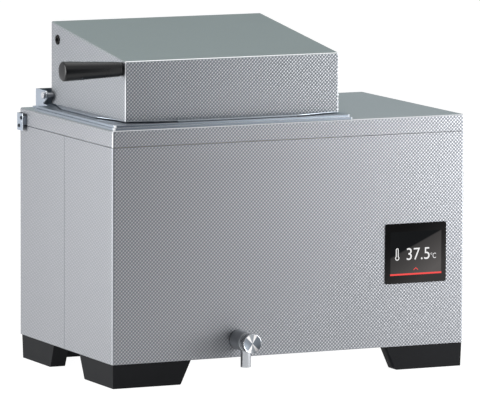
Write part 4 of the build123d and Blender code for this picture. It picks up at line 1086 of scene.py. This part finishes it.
@dataclass
class Display:
    """Signs that the screen shows behind its black glass."""

    digits: str = "37.5"
    digit_height: float = 18.0
    digit_width: float = 38.5
    digit_middle: Point = (54.8, 44.0)
    unit: str = "°C"
    unit_height: float = 8.3
    unit_width: float = 9.0
    unit_middle: Point = (80.3, 40.0)
    stroke_offset: float = -0.004
    bar: tuple[float, float, float, float] = (8.0, 12.4, 94.0, 14.9)
    chevron_middle: Point = (51.0, 21.3)
    chevron_width: float = 7.5
    chevron_height: float = 4.4
    chevron_stroke: float = 1.3
    thermometer_middle: Point = (19.7, 44.4)
    tube_radius: float = 2.3
    bulb_radius: float = 3.5
    thermometer_height: float = 18.5
    tube_steps: int = 12
    bulb_steps: int = 24
    outline: float = 1.3
    lift: float = 0.06

    def flat(self, work: bmesh.types.BMesh) -> bmesh.types.BMesh:
        """Stands flat faces on the glass, in millimetres from its lower left corner, with a thickness."""
        faces = list(work.faces)
        raised = bmesh.ops.extrude_face_region(work, geom=faces)
        verts = [item for item in raised["geom"] if isinstance(item, bmesh.types.BMVert)]
        bmesh.ops.translate(work, verts=verts, vec=(0.0, 0.0, self.lift))
        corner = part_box("display_glass")[0]
        turn = Matrix.Rotation(math.radians(90.0), 4, "X")
        bmesh.ops.scale(work, verts=work.verts, vec=(MM, MM, MM))
        bmesh.ops.transform(work, verts=work.verts, matrix=Matrix.Translation(corner) @ turn)
        return work

    def lettering(self, text: str, centre: Point, width: float, height: float) -> bmesh.types.BMesh:
        """Flat faces of a reading, fitted to a width and height.

        Args:
            text: what it reads.
            centre: its middle on the glass.
            width: its width in millimetres.
            height: its height.

        Returns:
            The faces.
        """
        curve = bpy.data.curves.new("reading", "FONT")
        curve.body = text
        curve.offset = self.stroke_offset
        holder = bpy.data.objects.new("reading", curve)
        bpy.context.scene.collection.objects.link(holder)
        bpy.context.view_layer.update()
        mesh = bpy.data.meshes.new_from_object(
            holder.evaluated_get(bpy.context.evaluated_depsgraph_get())
        )
        work = bmesh.new()
        work.from_mesh(mesh)
        bpy.data.objects.remove(holder)
        bpy.data.curves.remove(curve)
        bpy.data.meshes.remove(mesh)
        xs = [vert.co.x for vert in work.verts]
        ys = [vert.co.y for vert in work.verts]
        scale = (width / (max(xs) - min(xs)), height / (max(ys) - min(ys)), 1.0)
        old = Vector(((max(xs) + min(xs)) / 2, (max(ys) + min(ys)) / 2, 0.0))
        bmesh.ops.translate(work, verts=work.verts, vec=-old)
        bmesh.ops.scale(work, verts=work.verts, vec=scale)
        bmesh.ops.translate(work, verts=work.verts, vec=(*centre, 0.0))
        return work

    def thermometer(self) -> bmesh.types.BMesh:
        """Outline of a thermometer: a tube that opens into a bulb."""
        work = bmesh.new()
        bulb_middle = -self.thermometer_height / 2 + self.bulb_radius
        tube_top = self.thermometer_height / 2 - self.tube_radius
        rings = []
        for inset in (0.0, self.outline):
            tube = self.tube_radius - inset
            bulb = self.bulb_radius - inset
            meeting = math.degrees(math.asin(tube / bulb))
            points = maker.rounded((0.0, tube_top), tube, 0.0, 180.0, self.tube_steps)
            start, end = 90.0 + meeting, 450.0 - meeting
            points += maker.rounded((0.0, bulb_middle), bulb, start, end, self.bulb_steps)
            rings.append([work.verts.new((*point, 0.0)) for point in points])
        outer, inner = rings
        for step, vert in enumerate(outer):
            after = (step + 1) % len(outer)
            work.faces.new((vert, outer[after], inner[after], inner[step]))
        bmesh.ops.translate(work, verts=work.verts, vec=(*self.thermometer_middle, 0.0))
        return work

    def chevron(self) -> bmesh.types.BMesh:
        """Arrow head of two strokes that points up."""
        work = bmesh.new()
        half = self.chevron_width / 2
        rise = self.chevron_height
        stroke = self.chevron_stroke
        outline = [
            (-half, 0.0),
            (0.0, rise - stroke),
            (half, 0.0),
            (half, stroke),
            (0.0, rise),
            (-half, stroke),
        ]
        verts = [work.verts.new((x, y, 0.0)) for x, y in outline]
        work.faces.new((verts[0], verts[1], verts[4], verts[5]))
        work.faces.new((verts[1], verts[2], verts[3], verts[4]))
        middle_x, middle_y = self.chevron_middle
        bmesh.ops.translate(work, verts=work.verts, vec=(middle_x, middle_y - rise / 2, 0.0))
        return work

    def line(self) -> bmesh.types.BMesh:
        """Bar across the foot of the screen."""
        work = bmesh.new()
        left, low, right, high = self.bar
        corners = ((left, low), (right, low), (right, high), (left, high))
        work.faces.new([work.verts.new((x, y, 0.0)) for x, y in corners])
        return work

    def build(self) -> None:
        """Makes every sign and fixes it to the casing."""
        reading = self.lettering(self.digits, self.digit_middle, self.digit_width, self.digit_height)
        unit = self.lettering(self.unit, self.unit_middle, self.unit_width, self.unit_height)
        signs = (
            ("screen_reading", reading, "white_ink"),
            ("screen_unit", unit, "white_ink"),
            ("screen_thermometer", self.thermometer(), "white_ink"),
            ("screen_chevron", self.chevron(), "red_ink"),
            ("screen_bar", self.line(), "red_ink"),
        )
        for name, work, ink in signs:
            maker.piece(name, self.flat(work), "casing", finishes.slots[ink], "screen_panel")


@dataclass
class Fasteners:
    """Small pieces whose round sides get smooth."""

    nodes: tuple[tuple[str, str], ...] = (
        ("bracket_screws", "zinc_steel"),
        ("foot_screws", "zinc_steel"),
        ("drain_fitting", "drawn_steel"),
        ("temperature_probe", "drawn_steel"),
        ("tap_gasket", "black_rubber"),
        ("tap_bonnet", "tap_casting"),
        ("drain_hose", "hose_silicone"),
    )

    def dress(self) -> None:
        """Refines each of them."""
        groups = frame["record"]["behaviour"]["bodies"]
        record_slots = {row["node"]: row["material_slot"] for row in frame["record"]["subparts"]}
        for node, finish in self.nodes:
            body = next(name for name, members in groups.items() if node in members)
            maker.refined(node, f"smooth_{node}", body, finishes.slots[finish], record_slots[node])


@dataclass(frozen=True)
class Lamp:
    """A square soft lamp that faces a target, in metres and watts."""

    name: str
    place: Place
    target: Place
    size: float
    power: float

    def build(self) -> None:
        """Hangs the lamp."""
        light = bpy.data.lights.new(self.name, "AREA")
        light.shape = "SQUARE"
        light.size = self.size
        light.energy = self.power
        holder = bpy.data.objects.new(self.name, light)
        holder.location = self.place
        aim = Vector(self.target) - Vector(self.place)
        holder.rotation_euler = aim.to_track_quat("-Z", "Y").to_euler()
        bpy.context.scene.collection.objects.link(holder)


@dataclass(frozen=True)
class Card:
    """An upright card that only reflections meet; its corners share one y, in metres."""

    name: str
    low: Place
    high: Place
    tone: Colour

    def build(self) -> None:
        """Stands the card in the studio."""
        low, high = self.low, self.high
        work = bmesh.new()
        corners = (low, (high[0], high[1], low[2]), high, (low[0], low[1], high[2]))
        work.faces.new([work.verts.new(corner) for corner in corners])
        made = linked(self.name, work)
        shader = Shader(self.name)
        shader.finish(
            Base_Color=(0.0, 0.0, 0.0),
            Roughness=1.0,
            Specular_IOR_Level=0.0,
            Emission_Color=self.tone,
            Emission_Strength=1.0,
        )
        cover(made, shader.material)
        for ray in ("camera", "diffuse", "transmission", "shadow"):
            setattr(made, f"visible_{ray}", False)


@dataclass
class Studio:
    """Pale floor, soft lamps, white surroundings, cards for the reflections, and the camera."""

    floor_size: float = 60.0
    floor_tone: Colour = (0.86, 0.86, 0.86)
    floor_roughness: float = 0.9
    floor_specular: float = 0.1
    floor_glow: float = 1.2
    floor_glow_share: float = 0.8
    ambient: Colour = (0.28, 0.28, 0.2856)
    lamps: tuple[Lamp, ...] = (
        Lamp("left_box", (-2.5, 0.9, 0.4), (-0.2, 0.0, 0.25), 1.4, 92.0),
        Lamp("right_box", (1.35, -0.8, 0.35), (0.35, -0.15, 0.1), 1.0, 34.0),
        Lamp("top_box", (0.0, 0.3, 2.4), (0.0, 0.0, 0.3), 2.0, 14.0),
    )
    cards: tuple[Card, ...] = (
        Card("front_flag", (-1.6, -1.1, 0.02), (0.36, -1.1, 1.0), (0.02, 0.03, 0.045)),
        Card("rear_flag", (-0.4, 2.4, 0.0), (4.5, 2.4, 3.0), (0.40, 0.46, 0.47)),
        Card("left_flag", (-4.0, 2.9, 0.0), (-0.45, 2.9, 2.0), (0.50, 0.50, 0.52)),
    )
    under_depth: float = 0.012
    under_left: float = -0.06
    under_split: float = 0.018
    under_right: float = 0.3
    # dark and grey cards standing in for the shade under the casing
    under_painted_shade: Colour = (0.01, 0.01, 0.012)
    under_painted_half_shade: Colour = (0.26, 0.27, 0.29)
    camera_place: Place = (-3719.9, -7904.7, 1304.7)
    azimuth: float = -0.439663
    elevation: float = 0.124714
    roll: float = 0.0042472
    lens: float = 437.4
    sensor: float = 36.0
    clip_range: Span = (0.5, 200.0)

    def world(self) -> None:
        """White to the eye and in reflections, softer as light."""
        world = bpy.data.worlds.new("surroundings")
        bpy.context.scene.world = world
        world.use_nodes = True
        tree = world.node_tree
        tree.nodes.clear()
        path = tree.nodes.new("ShaderNodeLightPath")
        seen = path.outputs["Is Camera Ray"]
        for ray in ("Is Glossy Ray", "Is Transmission Ray"):
            either = tree.nodes.new("ShaderNodeMath")
            either.operation = "MAXIMUM"
            tree.links.new(seen, either.inputs[0])
            tree.links.new(path.outputs[ray], either.inputs[1])
            seen = either.outputs[0]
        mix = tree.nodes.new("ShaderNodeMix")
        mix.data_type = "RGBA"
        tree.links.new(seen, mix.inputs[0])
        mix.inputs[COLOUR_A].default_value = (*self.ambient, 1.0)
        mix.inputs[COLOUR_B].default_value = (1.0, 1.0, 1.0, 1.0)
        background = tree.nodes.new("ShaderNodeBackground")
        tree.links.new(mix.outputs[MIXED_COLOUR], background.inputs["Color"])
        output = tree.nodes.new("ShaderNodeOutputWorld")
        tree.links.new(background.outputs[0], output.inputs["Surface"])

    def floor(self) -> None:
        """A pale floor that keeps the shadow and reads white to the eye."""
        work = bmesh.new()
        bmesh.ops.create_grid(work, x_segments=1, y_segments=1, size=self.floor_size / 2)
        made = linked("floor", work)
        shader = Shader("pale_floor")
        shader.finish(
            Base_Color=self.floor_tone,
            Roughness=self.floor_roughness,
            Specular_IOR_Level=self.floor_specular,
        )
        white = {"Color": (1.0, 1.0, 1.0, 1.0), "Strength": self.floor_glow}
        glow = shader.node("ShaderNodeEmission", {}, white)
        path = shader.node("ShaderNodeLightPath")
        glossy = Value(shader, path.outputs["Is Glossy Ray"])
        seen = Value(shader, path.outputs["Is Camera Ray"]).math("MAXIMUM", glossy)
        mix = shader.node(
            "ShaderNodeMixShader",
            {},
            {0: seen * self.floor_glow_share, 1: shader.surface.outputs[0], 2: glow.outputs[0]},
        )
        shader.tree.links.new(mix.outputs[0], shader.output.inputs["Surface"])
        cover(made, shader.material)

    def under_cards(self) -> tuple[Card, Card]:
        """Two cards under the casing's front, dark and grey, that stand in for the shade under the casing
        where the tap's spout mirrors it.
        """
        tap = middle("tap_knob")
        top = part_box("base_plate")[0].z
        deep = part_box("front_casing")[0].y + self.under_depth
        ends = (self.under_left, self.under_split, self.under_right)
        left, split, right = (tap.x + reach for reach in ends)
        return (
            Card("under_left", (left, deep, 0.0), (split, deep, top), self.under_painted_shade),
            Card("under_right", (split, deep, 0.0), (right, deep, top), self.under_painted_half_shade),
        )

    def camera(self) -> None:
        """The photograph's own long lens, from the front left and a little above."""
        low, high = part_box("top_cover")
        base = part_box("base_plate")[0].z
        origin = Vector(((low.x + high.x) / 2, (low.y + high.y) / 2, base))
        data = bpy.data.cameras.new("camera")
        data.lens = self.lens
        data.sensor_width = self.sensor
        data.clip_start, data.clip_end = self.clip_range
        made = bpy.data.objects.new("camera", data)
        bpy.context.scene.collection.objects.link(made)
        turn = Matrix.Rotation(self.azimuth, 4, "Z") @ Matrix.Rotation(math.pi / 2 - self.elevation, 4, "X")
        turn = turn @ Matrix.Rotation(self.roll, 4, "Z")
        made.matrix_world = Matrix.Translation(origin + Vector(self.camera_place) * MM) @ turn
        bpy.context.scene.camera = made

    def build(self) -> None:
        """Sets up the whole studio."""
        self.world()
        self.floor()
        for item in (*self.lamps, *self.cards, *self.under_cards()):
            item.build()
        self.camera()
        bpy.context.scene.view_settings.view_transform = "Standard"
        log.info("studio ready")


def main() -> None:
    """Builds the finishes, the pieces and the studio, in that order."""
    logging.basicConfig(level=logging.INFO, format="%(name)s: %(message)s")
    finishes.build()
    finishes.dress_nodes()
    Casing().dress()
    LidRim().dress()
    HingeParts().dress()
    Handle().build()
    DrainTap().build()
    Display().build()
    Fasteners().dress()
    Studio().build()
    bpy.context.view_layer.update()


if __name__ == "__main__":
    main()
